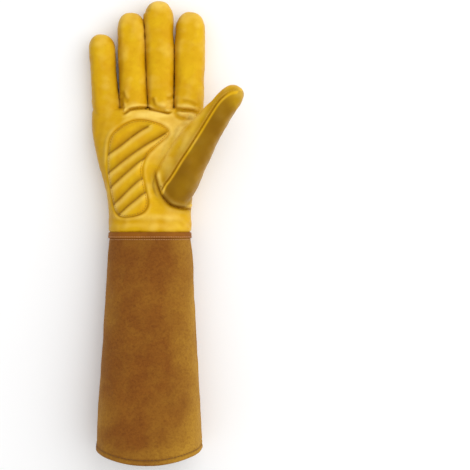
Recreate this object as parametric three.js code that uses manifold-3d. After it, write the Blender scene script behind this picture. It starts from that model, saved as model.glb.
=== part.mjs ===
// Rose pruning gauntlet for the right hand, lying on the back of the hand with the palm up.
// Millimetres, +Z up. The fingers point towards +Y, the cuff's mouth towards -Y, the thumb is on +X.
// Origin: the middle of the glove's footprint, on the surface that it lies on.
import * as THREE from "three";
import { mergeVertices } from "three/addons/utils/BufferGeometryUtils.js";
import Module from "manifold-3d";

const wasm = await Module();
wasm.setup();

// Leather and seams
const gloveLeather = 1.4; // grain leather of the hand
const cuffLeather = 1.7; // split leather of the cuff
const seamGap = 0.3; // between two pieces that are sewn edge to edge

// Hand
const palmLength = 122; // wrist seam to the webs between the fingers
const wristWidth = 81.5;
const wristHeight = 48;
const knuckleWidth = 110.4;
const knuckleHeight = 29;
const knuckleShift = 3.6; // the knuckles sit this far towards the little finger
const fingerHeight = 26;
const fingerCurl = 4; // how far the middle finger's tip lifts
const fourchetteWidth = 11; // side strips between the fingers
const gatherDepth = 1.1; // of the elastic gathers on the back of the wrist
const gatherFolds = 8;
const wristTuck = 9; // how far the hand goes into the cuff

// Thumb
const thumbLength = 123;
const thumbBaseWidth = 44;
const thumbBaseHeight = 37;
const thumbSpread = 31; // degrees from the fingers' direction
const thumbRise = 13; // degrees above the palm
const thumbSeamOffset = 6; // the long seam runs this far from the thumb's middle, on the palm's side

// Padded patch on the heel of the hand
const padWidth = 60;
const padLength = 92.5;
const padEdge = 1.2;
const padBulge = 2.2;
const padSink = 3.6; // the patch is cut to the palm's face, so it starts this far below it

// Cuff
const cuffLength = 209; // wrist seam to hem, along the sides
const hemDrop = 10.5; // the hem's middle hangs lower than its sides
const hemWidth = 103;
const hemHeight = 78;
const hemFold = 8; // the turned and sewn edge, two layers thick
const hemSink = -0.04; // how far the round of the hem would reach under the table, where it lies flat instead
const cuffSettle = 3; // the cuff lies on the table from a third of its length
const bindingWidth = 6;
const bindingLeather = 1.2;
const bindingRise = 1.6; // how far the band stands past the cuff's upper edge

// One row for each finger: where its base stands across the knuckles, its width there and further up,
// its length, the angle that it leans towards the thumb, and how far its tip bends towards the thumb.
const fingers = [
  { name: "little", base: -0.366, baseWidth: 26.8, width: 25.4, length: 71.5, lean: -5.2, bend: 3 },
  { name: "ring", base: -0.113, baseWidth: 27.2, width: 26.8, length: 93.5, lean: -3.5, bend: 2.2 },
  { name: "middle", base: 0.125, baseWidth: 24.6, width: 27.8, length: 105.5, lean: -1, bend: 0 },
  { name: "index", base: 0.374, baseWidth: 29.2, width: 29.4, length: 94, lean: 1.1, bend: 0 },
];

// Sections of the hand from the cuff to the webs. along: share of palmLength. spread: from the wrist's width
// to the knuckles'. drop: from the wrist's height to the knuckles'. lift: the back's height above the table,
// in shares of wristHeight. gather: share of gatherDepth.
const palmSections = [
  { along: 0, spread: 0.0, drop: 0.0, lift: 0.045, gather: 0 },
  { along: 0.09, spread: -0.02, drop: 0.04, lift: 0.075, gather: 0.15 },
  { along: 0.14, spread: -0.03, drop: 0.1, lift: 0.1, gather: 1 },
  { along: 0.2, spread: 0.0, drop: 0.17, lift: 0.07, gather: 1.1 },
  { along: 0.28, spread: 0.08, drop: 0.27, lift: 0.02, gather: 0.7 },
  { along: 0.37, spread: 0.24, drop: 0.37, lift: -0.02, gather: 0.25 },
  { along: 0.46, spread: 0.41, drop: 0.45, lift: -0.035, gather: 0 },
  { along: 0.63, spread: 0.71, drop: 0.58, lift: -0.035, gather: 0 },
  { along: 0.8, spread: 0.915, drop: 0.8, lift: -0.03, gather: 0 },
  { along: 0.94, spread: 0.975, drop: 0.98, lift: -0.03, gather: 0 },
];

// The rounded end of the palm between the fingers. back: distance from the webs in shares of knuckleHeight.
const webSections = [
  { back: 0.1, height: 0.86, width: 0.985 },
  { back: 0.02, height: 0.6, width: 0.96 },
  { back: 0, height: 0.34, width: 0.93 },
];

// Sections along a finger, from a root inside the palm. grow: from its width at the base to its full width.
const fingerSections = [
  { along: -0.2, grow: 0, width: 0.6, height: 0.6 },
  { along: -0.06, grow: 0, width: 0.97, height: 0.95 },
  { along: 0.06, grow: 0.3, width: 1, height: 1.0 },
  { along: 0.28, grow: 0.85, width: 1, height: 1.0 },
  { along: 0.5, grow: 1, width: 1, height: 0.97 },
  { along: 0.72, grow: 1, width: 1, height: 0.94 },
];
const tipAngles = [0, 26, 50, 72]; // degrees round the rounded tip
const tipLength = 0.56; // in shares of the finger's width
const tipBlunt = 0.85; // under 1 keeps the tip full

// The side strips' width from the web to their upper end. along: share of the strip's length.
const stripSections = [
  { along: 0, width: 1 },
  { along: 0.7, width: 1 },
  { along: 0.9, width: 0.75 },
  { along: 1, width: 0.35 },
];
const stripFold = 2; // the strip's fold reaches this far into the palm
const stripEnd = 0.42; // it stops short of the fingertip, in shares of the finger's width
const stripWrap = 0.25; // how far it reaches under the finger, in shares of the finger's width
const baseSeamDip = 2.2; // the curved seam under the ring and middle fingers: its ends and its crown,
const baseSeamRise = 1.6; // below and above the webs

// Sections along the thumb from its rounded root to its tip, in shares of its length, base width and height.
const thumbSections = [
  { along: -0.2, width: 0.3, height: 0.3, side: 0.02 },
  { along: -0.175, width: 0.58, height: 0.56, side: 0.02 },
  { along: -0.12, width: 0.82, height: 0.8, side: 0.02 },
  { along: -0.04, width: 0.96, height: 0.95, side: 0.01 },
  { along: 0.1, width: 1.0, height: 1.0, side: 0.0 },
  { along: 0.28, width: 0.93, height: 0.96, side: -0.02 },
  { along: 0.46, width: 0.82, height: 0.87, side: -0.02 },
  { along: 0.62, width: 0.69, height: 0.77, side: 0.02 },
  { along: 0.76, width: 0.59, height: 0.71, side: 0.065 },
  { along: 0.87, width: 0.54, height: 0.66, side: 0.105 },
  { along: 0.935, width: 0.46, height: 0.56, side: 0.13 },
  { along: 0.975, width: 0.34, height: 0.4, side: 0.14 },
  { along: 0.995, width: 0.17, height: 0.2, side: 0.145 },
];
// Where the thumb starts, in shares of wristWidth, palmLength and wristHeight.
const thumbRoot = { across: 0.245, along: 0.335, up: 0.6 };
const thumbSeamStart = -0.24; // the long seam's ends along the thumb, in shares of its length
const thumbSeamEnd = 1.36;

// The patch's edges and the seams between its channels, top to bottom, in shares of padWidth and padLength.
// bow: how far the line's middle rises above its ends.
const padLines = [
  { leftAcross: 0.04, leftUp: 0.77, rightAcross: 0.9, rightUp: 0.958, bow: 0.136 },
  { leftAcross: 0.01, leftUp: 0.638, rightAcross: 0.968, rightUp: 0.927, bow: 0.073 },
  { leftAcross: 0.01, leftUp: 0.446, rightAcross: 0.98, rightUp: 0.88, bow: 0.01 },
  { leftAcross: 0.065, leftUp: 0.3, rightAcross: 0.66, rightUp: 0.616, bow: 0.01 },
  { leftAcross: 0.12, leftUp: 0.125, rightAcross: 0.576, rightUp: 0.404, bow: 0.01 },
  { leftAcross: 0.2, leftUp: 0.02, rightAcross: 0.6, rightUp: 0.242, bow: 0.01 },
  { leftAcross: 0.29, leftUp: 0.0, rightAcross: 0.653, rightUp: 0.112, bow: -0.043 },
];
// The patch's lower left corner, in shares of wristWidth and palmLength.
const padPlace = { across: -0.53, along: 0.125 };

// Facets
const fingerFacets = 16;
const thumbFacets = 20;
const cuffFacets = 36;
const cuffShares = [0, 0.25, 0.5, 0.75]; // rings along the cuff before the hem
const palmFrontFacets = 16;
const edgePoints = [0.87, 0.93, 0.97, 0.992, 1]; // round the palm's side, in shares of its half width
const padSteps = 4; // across one channel
const padColumns = 8;

const palmRound = 2.5; // superellipse exponents: 2 is an ellipse, more is squarer
const fingerRound = 2.6;
const cuffRound = 2.15;
const gatheredShare = 0.8; // of the back's half width
const thinnest = 0.5; // half size of the smallest ring, so that no end closes to a point
const past = 5; // a cutter runs this far through the face that it opens
const stepLength = 0.6; // from one layer of the hem to two
const bandRound = 0.55; // thickness at the band's edges, in shares of its leather

const lerp = THREE.MathUtils.lerp;
const palmStart = bindingRise + 2 * seamGap; // the hand's full width starts clear of the band
const palmY = (along) => lerp(palmStart, palmLength, along);
const cuffStep = bindingLeather + seamGap; // the cuff's leather lies this far under the band
const degree = Math.PI / 180;
const webY = palmLength;

// A value of a section table at any place, straight between its rows.
function atRow(rows, key, place, column) {
  const last = rows.length - 1;
  if (place <= rows[0][key]) return rows[0][column];
  if (place >= rows[last][key]) return rows[last][column];
  const i = rows.findIndex((row) => row[key] >= place);
  const share = (place - rows[i - 1][key]) / (rows[i][key] - rows[i - 1][key]);
  return lerp(rows[i - 1][column], rows[i][column], share);
}

// A closed mesh through rings of points, with a flat fan at each end.
function loft(rings) {
  const count = rings[0].length;
  const positions = [];
  const index = [];
  for (const ring of rings) for (const p of ring) positions.push(p.x, p.y, p.z);
  for (const ring of [rings[0], rings.at(-1)]) {
    const middle = ring.reduce((sum, p) => sum.add(p), new THREE.Vector3()).divideScalar(count);
    positions.push(middle.x, middle.y, middle.z);
  }
  const startFan = rings.length * count;
  const endFan = startFan + 1;
  for (let j = 0; j < count; j++) {
    const next = (j + 1) % count;
    for (let i = 0; i < rings.length - 1; i++) {
      const a = i * count + j;
      const b = i * count + next;
      index.push(a, b, a + count, b, b + count, a + count);
    }
    index.push(startFan, next, j);
    index.push(endFan, (rings.length - 1) * count + j, (rings.length - 1) * count + next);
  }
  const geometry = new THREE.BufferGeometry();
  geometry.setAttribute("position", new THREE.Float32BufferAttribute(positions, 3));
  geometry.setIndex(index);
  return solidOf(geometry);
}

// A closed three.js geometry as a solid for cutting and joining. Faces are turned out if they point in.
function solidOf(geometry) {
  const bare = geometry.clone();
  bare.deleteAttribute("normal");
  bare.deleteAttribute("uv");
  const merged = mergeVertices(bare, 1e-4);
  const triVerts = new Uint32Array(merged.index.array);
  const vertProperties = merged.attributes.position.array;
  const made = new wasm.Manifold(new wasm.Mesh({ numProp: 3, vertProperties, triVerts }));
  if (made.volume() > 0) return made;
  for (let i = 0; i < triVerts.length; i += 3) {
    [triVerts[i + 1], triVerts[i + 2]] = [triVerts[i + 2], triVerts[i + 1]];
  }
  return new wasm.Manifold(new wasm.Mesh({ numProp: 3, vertProperties, triVerts }));
}

const joined = (solids) => solids.reduce((all, solid) => all.add(solid));
const without = (solid, cutters) => cutters.reduce((rest, cutter) => rest.subtract(cutter), solid);

// The largest body of a cut, without the slivers that a cut can leave.
function mainBody(solid) {
  return solid.decompose().sort((a, b) => b.volume() - a.volume())[0];
}

// A rounded section across Y. Leather that would reach under the table lies flat on it.
function roundSection({ x, y, low, high, halfWidth, round, count, floor }) {
  const middle = (low + high) / 2;
  const half = (high - low) / 2;
  return Array.from({ length: count }, (_, i) => {
    const angle = (i / count) * 2 * Math.PI;
    const c = Math.cos(angle);
    const s = Math.sin(angle);
    const px = x + halfWidth * Math.sign(c) * Math.abs(c) ** (2 / round);
    const pz = middle + half * Math.sign(s) * Math.abs(s) ** (2 / round);
    return new THREE.Vector3(px, y, Math.max(pz, floor));
  });
}

// Places across a palm section, in shares of its half width: along the front, then back along the gathers.
function palmPlaces() {
  const places = [];
  for (let i = 1; i < palmFrontFacets; i++) {
    places.push({ across: Math.cos((i / palmFrontFacets) * Math.PI), front: true, fold: 0 });
  }
  for (const edge of [...edgePoints].reverse()) places.push({ across: -edge, front: false, fold: 0 });
  for (let i = 0; i <= 2 * gatherFolds; i++) {
    const across = lerp(-gatheredShare, gatheredShare, i / (2 * gatherFolds));
    const fade = i === 0 || i === 2 * gatherFolds ? 0 : 1;
    places.push({ across, front: false, fold: (i % 2 ? 1 : -1) * fade });
  }
  for (const edge of edgePoints) places.push({ across: edge, front: false, fold: 0 });
  return places;
}

// The palm's measures at a height along the hand.
function palmAt(y) {
  const along = (y - palmStart) / (palmLength - palmStart);
  const column = (name) => atRow(palmSections, "along", along, name);
  return {
    x: -knuckleShift * Math.max(column("spread"), 0),
    halfWidth: lerp(wristWidth, knuckleWidth, column("spread")) / 2,
    high: lerp(wristHeight, knuckleHeight, column("drop")),
    low: wristHeight * column("lift"),
    gather: gatherDepth * column("gather"),
    round: lerp(cuffRound, palmRound, Math.max(column("spread"), 0)),
  };
}

// One ring of the palm, moved in by inset.
function palmRing(y, palm, inset) {
  const halfWidth = palm.halfWidth - inset;
  const high = palm.high - inset;
  const low = palm.low + inset;
  const middle = (low + high) / 2;
  const half = (high - low) / 2;
  return palmPlaces().map(({ across, front, fold }) => {
    const rise = half * (1 - Math.abs(across) ** palm.round) ** (1 / palm.round);
    const z = front ? middle + rise : middle - rise + fold * palm.gather;
    return new THREE.Vector3(palm.x + halfWidth * across, y, Math.max(z, inset));
  });
}

// The palm from the tuck in the cuff to the webs.
function palmSolid(inset) {
  const rings = [];
  const tuck = cuffStep + cuffLeather + 2 * seamGap;
  const neck = palmAt(palmStart);
  const tucked = {
    ...neck,
    halfWidth: neck.halfWidth - tuck,
    high: neck.high - tuck,
    low: neck.low + tuck,
    gather: 0,
  };
  const open = inset > 0 ? past : 0; // the inside runs on through the mouth
  rings.push(palmRing(-wristTuck - open, tucked, inset));
  rings.push(palmRing(bindingRise + seamGap, tucked, inset));
  for (const row of palmSections) rings.push(palmRing(palmY(row.along), palmAt(palmY(row.along)), inset));
  const knuckle = palmAt(palmLength);
  for (const row of webSections) {
    const middle = (knuckle.high + knuckle.low) / 2;
    const half = ((knuckle.high - knuckle.low) / 2) * row.height;
    const web = { ...knuckle, halfWidth: knuckle.halfWidth * row.width };
    web.high = middle + half;
    web.low = middle - half;
    rings.push(palmRing(webY - row.back * knuckleHeight - inset, web, Math.min(inset, half / 2)));
  }
  return loft(rings);
}

// The height of the hand's side seam at y, which runs into the fingers' middle height at the webs.
function seamHeight(y) {
  const palm = palmAt(y);
  const palmMiddle = (palm.high + palm.low) / 2;
  return lerp(palmMiddle, fingerMiddle(y), THREE.MathUtils.clamp(y / palmLength, 0, 1));
}

// The height of a finger's middle line at y.
function fingerMiddle(y) {
  const past = Math.max(y - webY, 0) / fingers[2].length;
  return fingerHeight / 2 - 0.6 + fingerCurl * past ** 2;
}

// Where a finger's middle line stands across the hand at y.
function fingerX(finger, y) {
  const past = Math.max(y - webY, 0);
  const lean = Math.tan(finger.lean * degree) * (y - webY);
  return -knuckleShift + finger.base * knuckleWidth + lean + finger.bend * (past / finger.length) ** 2;
}

function fingerSolid(finger, inset) {
  const rings = [];
  const tip = finger.width * tipLength;
  const ringAt = (y, width, height) => {
    const middle = fingerMiddle(y);
    const half = Math.max(height / 2, thinnest);
    return roundSection({
      x: fingerX(finger, y),
      y,
      low: middle - half,
      high: middle + half,
      halfWidth: Math.max(width / 2, thinnest),
      round: fingerRound,
      count: fingerFacets,
      floor: inset,
    });
  };
  for (const row of fingerSections) {
    const width = lerp(finger.baseWidth, finger.width, row.grow) * row.width - 2 * inset;
    rings.push(ringAt(webY + row.along * finger.length, width, fingerHeight * row.height - 2 * inset));
  }
  const tipHeight = fingerHeight * fingerSections.at(-1).height;
  for (const angle of tipAngles) {
    const out = Math.sin(angle * degree);
    const shrink = Math.cos(angle * degree) ** tipBlunt;
    const y = webY + finger.length - tip + (tip - inset) * out;
    rings.push(ringAt(y, (finger.width - 2 * inset) * shrink, (tipHeight - 2 * inset) * shrink));
  }
  return loft(rings);
}

// The thumb's own axes: out along it, across it and up through it.
const thumbOut = new THREE.Vector3(
  Math.sin(thumbSpread * degree) * Math.cos(thumbRise * degree),
  Math.cos(thumbSpread * degree) * Math.cos(thumbRise * degree),
  Math.sin(thumbRise * degree),
);
const thumbAcross = new THREE.Vector3(Math.cos(thumbSpread * degree), -Math.sin(thumbSpread * degree), 0);
const thumbUp = new THREE.Vector3().crossVectors(thumbAcross, thumbOut);
const thumbStart = new THREE.Vector3(
  thumbRoot.across * wristWidth,
  thumbRoot.along * palmLength,
  thumbRoot.up * wristHeight,
);

function thumbSolid(inset) {
  const rings = thumbSections.map((row, i) => {
    const end = i === 0 ? 1 : i === thumbSections.length - 1 ? -1 : 0;
    const along = row.along * thumbLength + end * inset;
    const centre = thumbStart.clone().addScaledVector(thumbOut, along);
    centre.addScaledVector(thumbAcross, row.side * thumbBaseWidth);
    const halfWidth = Math.max((thumbBaseWidth * row.width) / 2 - inset, thinnest);
    const halfHeight = Math.max((thumbBaseHeight * row.height) / 2 - inset, thinnest);
    return Array.from({ length: thumbFacets }, (_, k) => {
      const angle = (k / thumbFacets) * 2 * Math.PI;
      const c = Math.cos(angle);
      const s = Math.sin(angle);
      return centre
        .clone()
        .addScaledVector(thumbAcross, halfWidth * Math.sign(c) * Math.abs(c) ** (2 / fingerRound))
        .addScaledVector(thumbUp, halfHeight * Math.sign(s) * Math.abs(s) ** (2 / fingerRound));
    });
  });
  return loft(rings);
}

// A thin upright blade that opens the thumb's long seam on its upper side.
function thumbSeamBlade() {
  const long = thumbLength * (thumbSeamEnd - thumbSeamStart);
  const blade = new THREE.BoxGeometry(seamGap, long, thumbBaseHeight);
  const centre = thumbStart
    .clone()
    .addScaledVector(thumbOut, long / 2 + thumbLength * thumbSeamStart)
    .addScaledVector(thumbAcross, -thumbSeamOffset)
    .addScaledVector(thumbUp, thumbBaseHeight / 2);
  const turn = new THREE.Matrix4().makeBasis(thumbAcross, thumbOut, thumbUp).setPosition(centre);
  return solidOf(blade.applyMatrix4(turn));
}

// A solid between two upright outlines in X and Y, from low(y) to high(y), through stations along Y.
function slab(stations) {
  return loft(
    stations.map(({ y, left, right, low, high }) => [
      new THREE.Vector3(left, y, low),
      new THREE.Vector3(right, y, low),
      new THREE.Vector3(right, y, high),
      new THREE.Vector3(left, y, high),
    ]),
  );
}

const reach = 2 * knuckleWidth; // clear of the glove on every side
const tallest = 2 * Math.max(hemHeight, wristHeight, thumbLength);
const fingertip = webY + Math.max(...fingers.map((f) => f.length));

// Everything on one side of the side seam: side 1 is the palm's half, side -1 the back's.
function halfSpace(side) {
  const stations = [-wristTuck - past, 0];
  for (const row of palmSections) stations.push(palmY(row.along));
  for (const row of fingerSections.slice(2)) stations.push(webY + row.along * fingers[2].length);
  stations.push(fingertip, fingertip + past);
  return slab(
    stations.map((y) => {
      const seam = seamHeight(y) + (side * seamGap) / 2;
      return {
        y,
        left: -reach,
        right: reach,
        low: side > 0 ? seam : -past,
        high: side > 0 ? tallest : seam,
      };
    }),
  );
}

// Middle of the space between two neighbouring fingers at y.
const between = (a, b, y) => {
  const rightOfA = fingerX(a, y) + a.width / 2;
  const leftOfB = fingerX(b, y) - b.width / 2;
  return (rightOfA + leftOfB) / 2;
};

// The room of the side strip between two fingers: down one finger's side, past the web and up the other's.
function fourchetteSpace(a, b, grow) {
  const parts = [a, b].map((finger) => {
    const start = webY - gloveLeather - stripFold - grow;
    const end = webY + finger.length - finger.width * stripEnd + grow;
    return slab(
      stripSections.map(({ along, width }) => {
        const y = lerp(start, end, along);
        const half = (fourchetteWidth / 2) * width + grow;
        const middle = seamHeight(y);
        const gapX = between(a, b, y);
        const side = finger === a ? 1 : -1;
        const inner = fingerX(finger, y) + side * finger.width * stripWrap;
        const outer = gapX + side * seamGap;
        return {
          y,
          left: Math.min(inner, outer),
          right: Math.max(inner, outer),
          low: middle - half,
          high: middle + half,
        };
      }),
    );
  });
  return joined(parts);
}

// The upright room over one finger's front piece, from its base seam to past its tip.
function frontSpace(finger, grow) {
  const i = fingers.indexOf(finger);
  const [before, after] = [fingers[i - 1], fingers[i + 1]];
  const outline = new THREE.Shape();
  const foot = webY - baseSeamDip - grow;
  const crown = webY + baseSeamRise - grow;
  const far = fingertip + past;
  const left = (y) => between(before, finger, y) - grow;
  const right = (y) => between(finger, after, y) + grow;
  outline.moveTo(left(foot), foot);
  outline.quadraticCurveTo(fingerX(finger, crown), 2 * crown - foot, right(foot), foot);
  outline.lineTo(right(far), far);
  outline.lineTo(left(far), far);
  const block = new THREE.ExtrudeGeometry(outline, { depth: tallest, bevelEnabled: false, curveSegments: 6 });
  return solidOf(block);
}

// Height of the palm's face over the table.
function palmTop(x, y) {
  const palm = palmAt(y);
  const across = Math.min(Math.abs((x - palm.x) / palm.halfWidth), 1);
  const middle = (palm.high + palm.low) / 2;
  return middle + ((palm.high - palm.low) / 2) * (1 - across ** palm.round) ** (1 / palm.round);
}

// A point of one of the patch's lines, which bow upwards between their ends.
function padPoint(line, share) {
  const across = lerp(line.leftAcross, line.rightAcross, share);
  const up = lerp(line.leftUp, line.rightUp, share) + 4 * line.bow * share * (1 - share);
  return {
    x: padPlace.across * wristWidth + across * padWidth,
    y: padPlace.along * palmLength + up * padLength,
  };
}

// The quilted patch: pillowed channels between its seams.
function padSolid(handCutter) {
  const rows = [];
  for (let k = 0; k < padLines.length - 1; k++) {
    const steps = k === padLines.length - 2 ? padSteps : padSteps - 1;
    for (let s = 0; s <= steps; s++) rows.push({ k, share: s / padSteps });
  }
  const positions = [];
  const index = [];
  const width = padColumns + 1;
  for (const { k, share } of rows) {
    for (let c = 0; c <= padColumns; c++) {
      const along = c / padColumns;
      const a = padPoint(padLines[k], along);
      const b = padPoint(padLines[k + 1], along);
      const x = lerp(a.x, b.x, share);
      const y = lerp(a.y, b.y, share);
      const ends = Math.min(1, 4 * Math.min(along, 1 - along));
      const puff = padBulge * Math.sin(Math.PI * share) ** 0.7 * Math.sqrt(ends);
      const z = palmTop(x, y);
      positions.push(x, y, z + seamGap + padEdge + puff, x, y, z - padSink);
    }
  }
  const top = (r, c) => 2 * (r * width + c);
  const under = (r, c) => top(r, c) + 1;
  const last = rows.length - 1;
  const quad = (a, b, c, d) => index.push(a, b, c, a, c, d);
  for (let r = 0; r < last; r++) {
    for (let c = 0; c < padColumns; c++) {
      quad(top(r, c), top(r + 1, c), top(r + 1, c + 1), top(r, c + 1));
      quad(under(r, c), under(r, c + 1), under(r + 1, c + 1), under(r + 1, c));
    }
    quad(top(r, 0), under(r, 0), under(r + 1, 0), top(r + 1, 0));
    quad(top(r, padColumns), top(r + 1, padColumns), under(r + 1, padColumns), under(r, padColumns));
  }
  for (let c = 0; c < padColumns; c++) {
    quad(top(0, c), top(0, c + 1), under(0, c + 1), under(0, c));
    quad(top(last, c), under(last, c), under(last, c + 1), top(last, c + 1));
  }
  const geometry = new THREE.BufferGeometry();
  geometry.setAttribute("position", new THREE.Float32BufferAttribute(positions, 3));
  geometry.setIndex(index);
  return mainBody(solidOf(geometry).subtract(handCutter));
}

// The cuff's underside and top at a share of its length: 0 at the wrist seam, 1 at the hem.
function cuffHeights(share) {
  const wrist = palmAt(palmStart);
  return {
    low: lerp(wrist.low + cuffStep, hemSink * hemHeight, Math.min(1, cuffSettle * share)),
    high: lerp(wrist.high - cuffStep, hemHeight, share),
  };
}

// One ring of the cuff, moved in by inset and towards the hem by more.
function cuffRing(share, inset, more = 0) {
  const halfWidth = lerp(wristWidth / 2 - cuffStep, hemWidth / 2, share) - inset;
  const heights = cuffHeights(share);
  const ring = roundSection({
    x: 0,
    y: 0,
    low: heights.low + inset,
    high: heights.high - inset,
    halfWidth,
    round: cuffRound,
    count: cuffFacets,
    floor: Math.max(inset, 0),
  });
  for (const p of ring) {
    const drop = hemDrop * (1 - (p.x / halfWidth) ** 2);
    p.y = -share * (cuffLength + drop) - more;
  }
  return ring;
}

function cuffSolid() {
  const outside = loft([...cuffShares, 1].map((share) => cuffRing(share, 0)));
  const fold = 1 - hemFold / cuffLength;
  const step = stepLength / cuffLength;
  const inside = loft([
    cuffRing(0, cuffLeather, -past),
    ...cuffShares.slice(1).map((share) => cuffRing(share, cuffLeather)),
    cuffRing(fold, cuffLeather),
    cuffRing(fold + step, 2 * cuffLeather),
    cuffRing(1, 2 * cuffLeather),
    cuffRing(1, 2 * cuffLeather, past),
  ]);
  // The sheet's two edges meet along the thumb's side.
  const seam = slab(
    [0, 1].map((share) => {
      const { low, high } = cuffHeights(share);
      const middle = (low + high) / 2;
      const y = share ? -cuffLength - past : past;
      return { y, left: 0, right: reach, low: middle - seamGap / 2, high: middle + seamGap / 2 };
    }),
  );
  return without(outside, [inside, seam]);
}

// The turned band over the cuff's upper edge.
function bindingSolid() {
  const from = -bindingRise;
  const lower = (bindingWidth - bindingRise) / cuffLength;
  const full = -seamGap - bindingLeather;
  const edge = -seamGap - bindingLeather * bandRound;
  const outside = loft([
    cuffRing(0, edge, from),
    cuffRing(0, full, from + bindingRise / 2),
    cuffRing(lower, full, -bindingRise / 2),
    cuffRing(lower, edge),
  ]);
  const inside = loft([cuffRing(0, -seamGap, from - past), cuffRing(lower, -seamGap, past)]);
  return outside.subtract(inside);
}

// Everything cut and sewn
const outerHand = joined([palmSolid(0), ...fingers.map((f) => fingerSolid(f, 0))]);
const innerHand = joined([palmSolid(gloveLeather), ...fingers.map((f) => fingerSolid(f, gloveLeather))]);
const grownHand = joined([palmSolid(-seamGap), ...fingers.map((f) => fingerSolid(f, -seamGap))]);
const outerThumb = thumbSolid(0);
const innerThumb = thumbSolid(gloveLeather);
const handShell = without(outerHand, [innerHand, innerThumb]);

const [little, ring, middle, index] = fingers;
const pairs = [
  [little, ring],
  [ring, middle],
  [middle, index],
];
const stripCutters = pairs.map(([a, b]) => fourchetteSpace(a, b, seamGap));
const fronts = without(handShell.intersect(halfSpace(1)), stripCutters);
const backs = without(handShell.intersect(halfSpace(-1)), stripCutters);

const leatherYellow = { color: 0xe0aa2c, roughness: 0.55, metalness: 0 };
const suedeBrown = { color: 0x8f5c26, roughness: 0.95, metalness: 0 };
const bandBrown = { color: 0x7a4519, roughness: 0.8, metalness: 0 };

const glove = new THREE.Group();

function addPiece(name, solid, finish) {
  const mesh = mainBody(solid).getMesh();
  const geometry = new THREE.BufferGeometry();
  const positions = new Float32Array(mesh.numVert * 3);
  for (let i = 0; i < mesh.numVert; i++) {
    for (let k = 0; k < 3; k++) positions[3 * i + k] = mesh.vertProperties[i * mesh.numProp + k];
  }
  geometry.setAttribute("position", new THREE.BufferAttribute(positions, 3));
  geometry.setIndex(new THREE.BufferAttribute(new Uint32Array(mesh.triVerts), 1));
  geometry.computeVertexNormals();
  const piece = new THREE.Mesh(geometry, new THREE.MeshStandardMaterial(finish));
  piece.name = name;
  glove.add(piece);
}

const insideFronts = [ring, middle].map((f) => frontSpace(f, seamGap / 2));
addPiece("palm_panel", without(fronts, insideFronts), leatherYellow);
addPiece("ring_finger_front", fronts.intersect(frontSpace(ring, -seamGap / 2)), leatherYellow);
addPiece("middle_finger_front", fronts.intersect(frontSpace(middle, -seamGap / 2)), leatherYellow);
addPiece("back_panel", backs, leatherYellow);
pairs.forEach(([a, b]) => {
  const strip = handShell.intersect(fourchetteSpace(a, b, 0));
  addPiece("fourchette_" + a.name + "_" + b.name, strip, leatherYellow);
});
addPiece("thumb_panel", without(outerThumb, [innerThumb, grownHand, thumbSeamBlade()]), leatherYellow);
addPiece("palm_pad", padSolid(grownHand.add(thumbSolid(-seamGap))), leatherYellow);
addPiece("wrist_binding", bindingSolid(), bandBrown);
addPiece("cuff_panel", cuffSolid(), suedeBrown);

// The origin goes to the middle of the footprint, on the table.
const box = new THREE.Box3().setFromObject(glove);
glove.position.set(-(box.min.x + box.max.x) / 2, -(box.min.y + box.max.y) / 2, -box.min.z);

export default glove;
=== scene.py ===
import math
from collections import namedtuple

import bpy
import bmesh
import numpy as np
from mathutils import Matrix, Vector
from mathutils.bvhtree import BVHTree


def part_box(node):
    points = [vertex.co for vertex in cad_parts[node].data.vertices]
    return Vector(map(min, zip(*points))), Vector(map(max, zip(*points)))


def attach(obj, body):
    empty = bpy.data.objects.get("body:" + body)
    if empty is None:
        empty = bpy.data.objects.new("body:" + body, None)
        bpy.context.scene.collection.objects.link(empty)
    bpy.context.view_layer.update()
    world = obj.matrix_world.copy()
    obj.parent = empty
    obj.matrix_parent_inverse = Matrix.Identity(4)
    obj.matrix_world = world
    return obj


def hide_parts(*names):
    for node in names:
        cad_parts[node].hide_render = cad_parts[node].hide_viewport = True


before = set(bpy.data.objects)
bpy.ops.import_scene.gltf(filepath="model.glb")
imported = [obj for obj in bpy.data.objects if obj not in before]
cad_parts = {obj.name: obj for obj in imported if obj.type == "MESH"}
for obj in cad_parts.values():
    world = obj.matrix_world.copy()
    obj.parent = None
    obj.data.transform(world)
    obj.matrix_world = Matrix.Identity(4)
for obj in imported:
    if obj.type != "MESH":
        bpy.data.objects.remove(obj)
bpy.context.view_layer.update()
cuffLow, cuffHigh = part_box("cuff_panel")
origin = np.array([(cuffLow.x + cuffHigh.x) / 2, cuffHigh.y, 0.0])
mm = 0.001

leather = {
    "hand": 1.3,         # thickness of the grain leather
    "cuff": 1.7,         # thickness of the split leather
    "band": 1.2,
    "ringStep": 1.2,     # between the rings that palm and fingers are laid through
    "palmRing": 96,      # points in a ring
    "fingerRing": 64,
    "voxel": 0.92,       # size of the skin's faces
    "smoothing": 5,
    "uneven": (.3, .16), # height of the broad and of the small unevenness of worn leather
    "weld": 4e-5,        # metres, points closer than this become one
    "crumb": 60,         # loose bits with fewer points are thrown away
}

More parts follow.
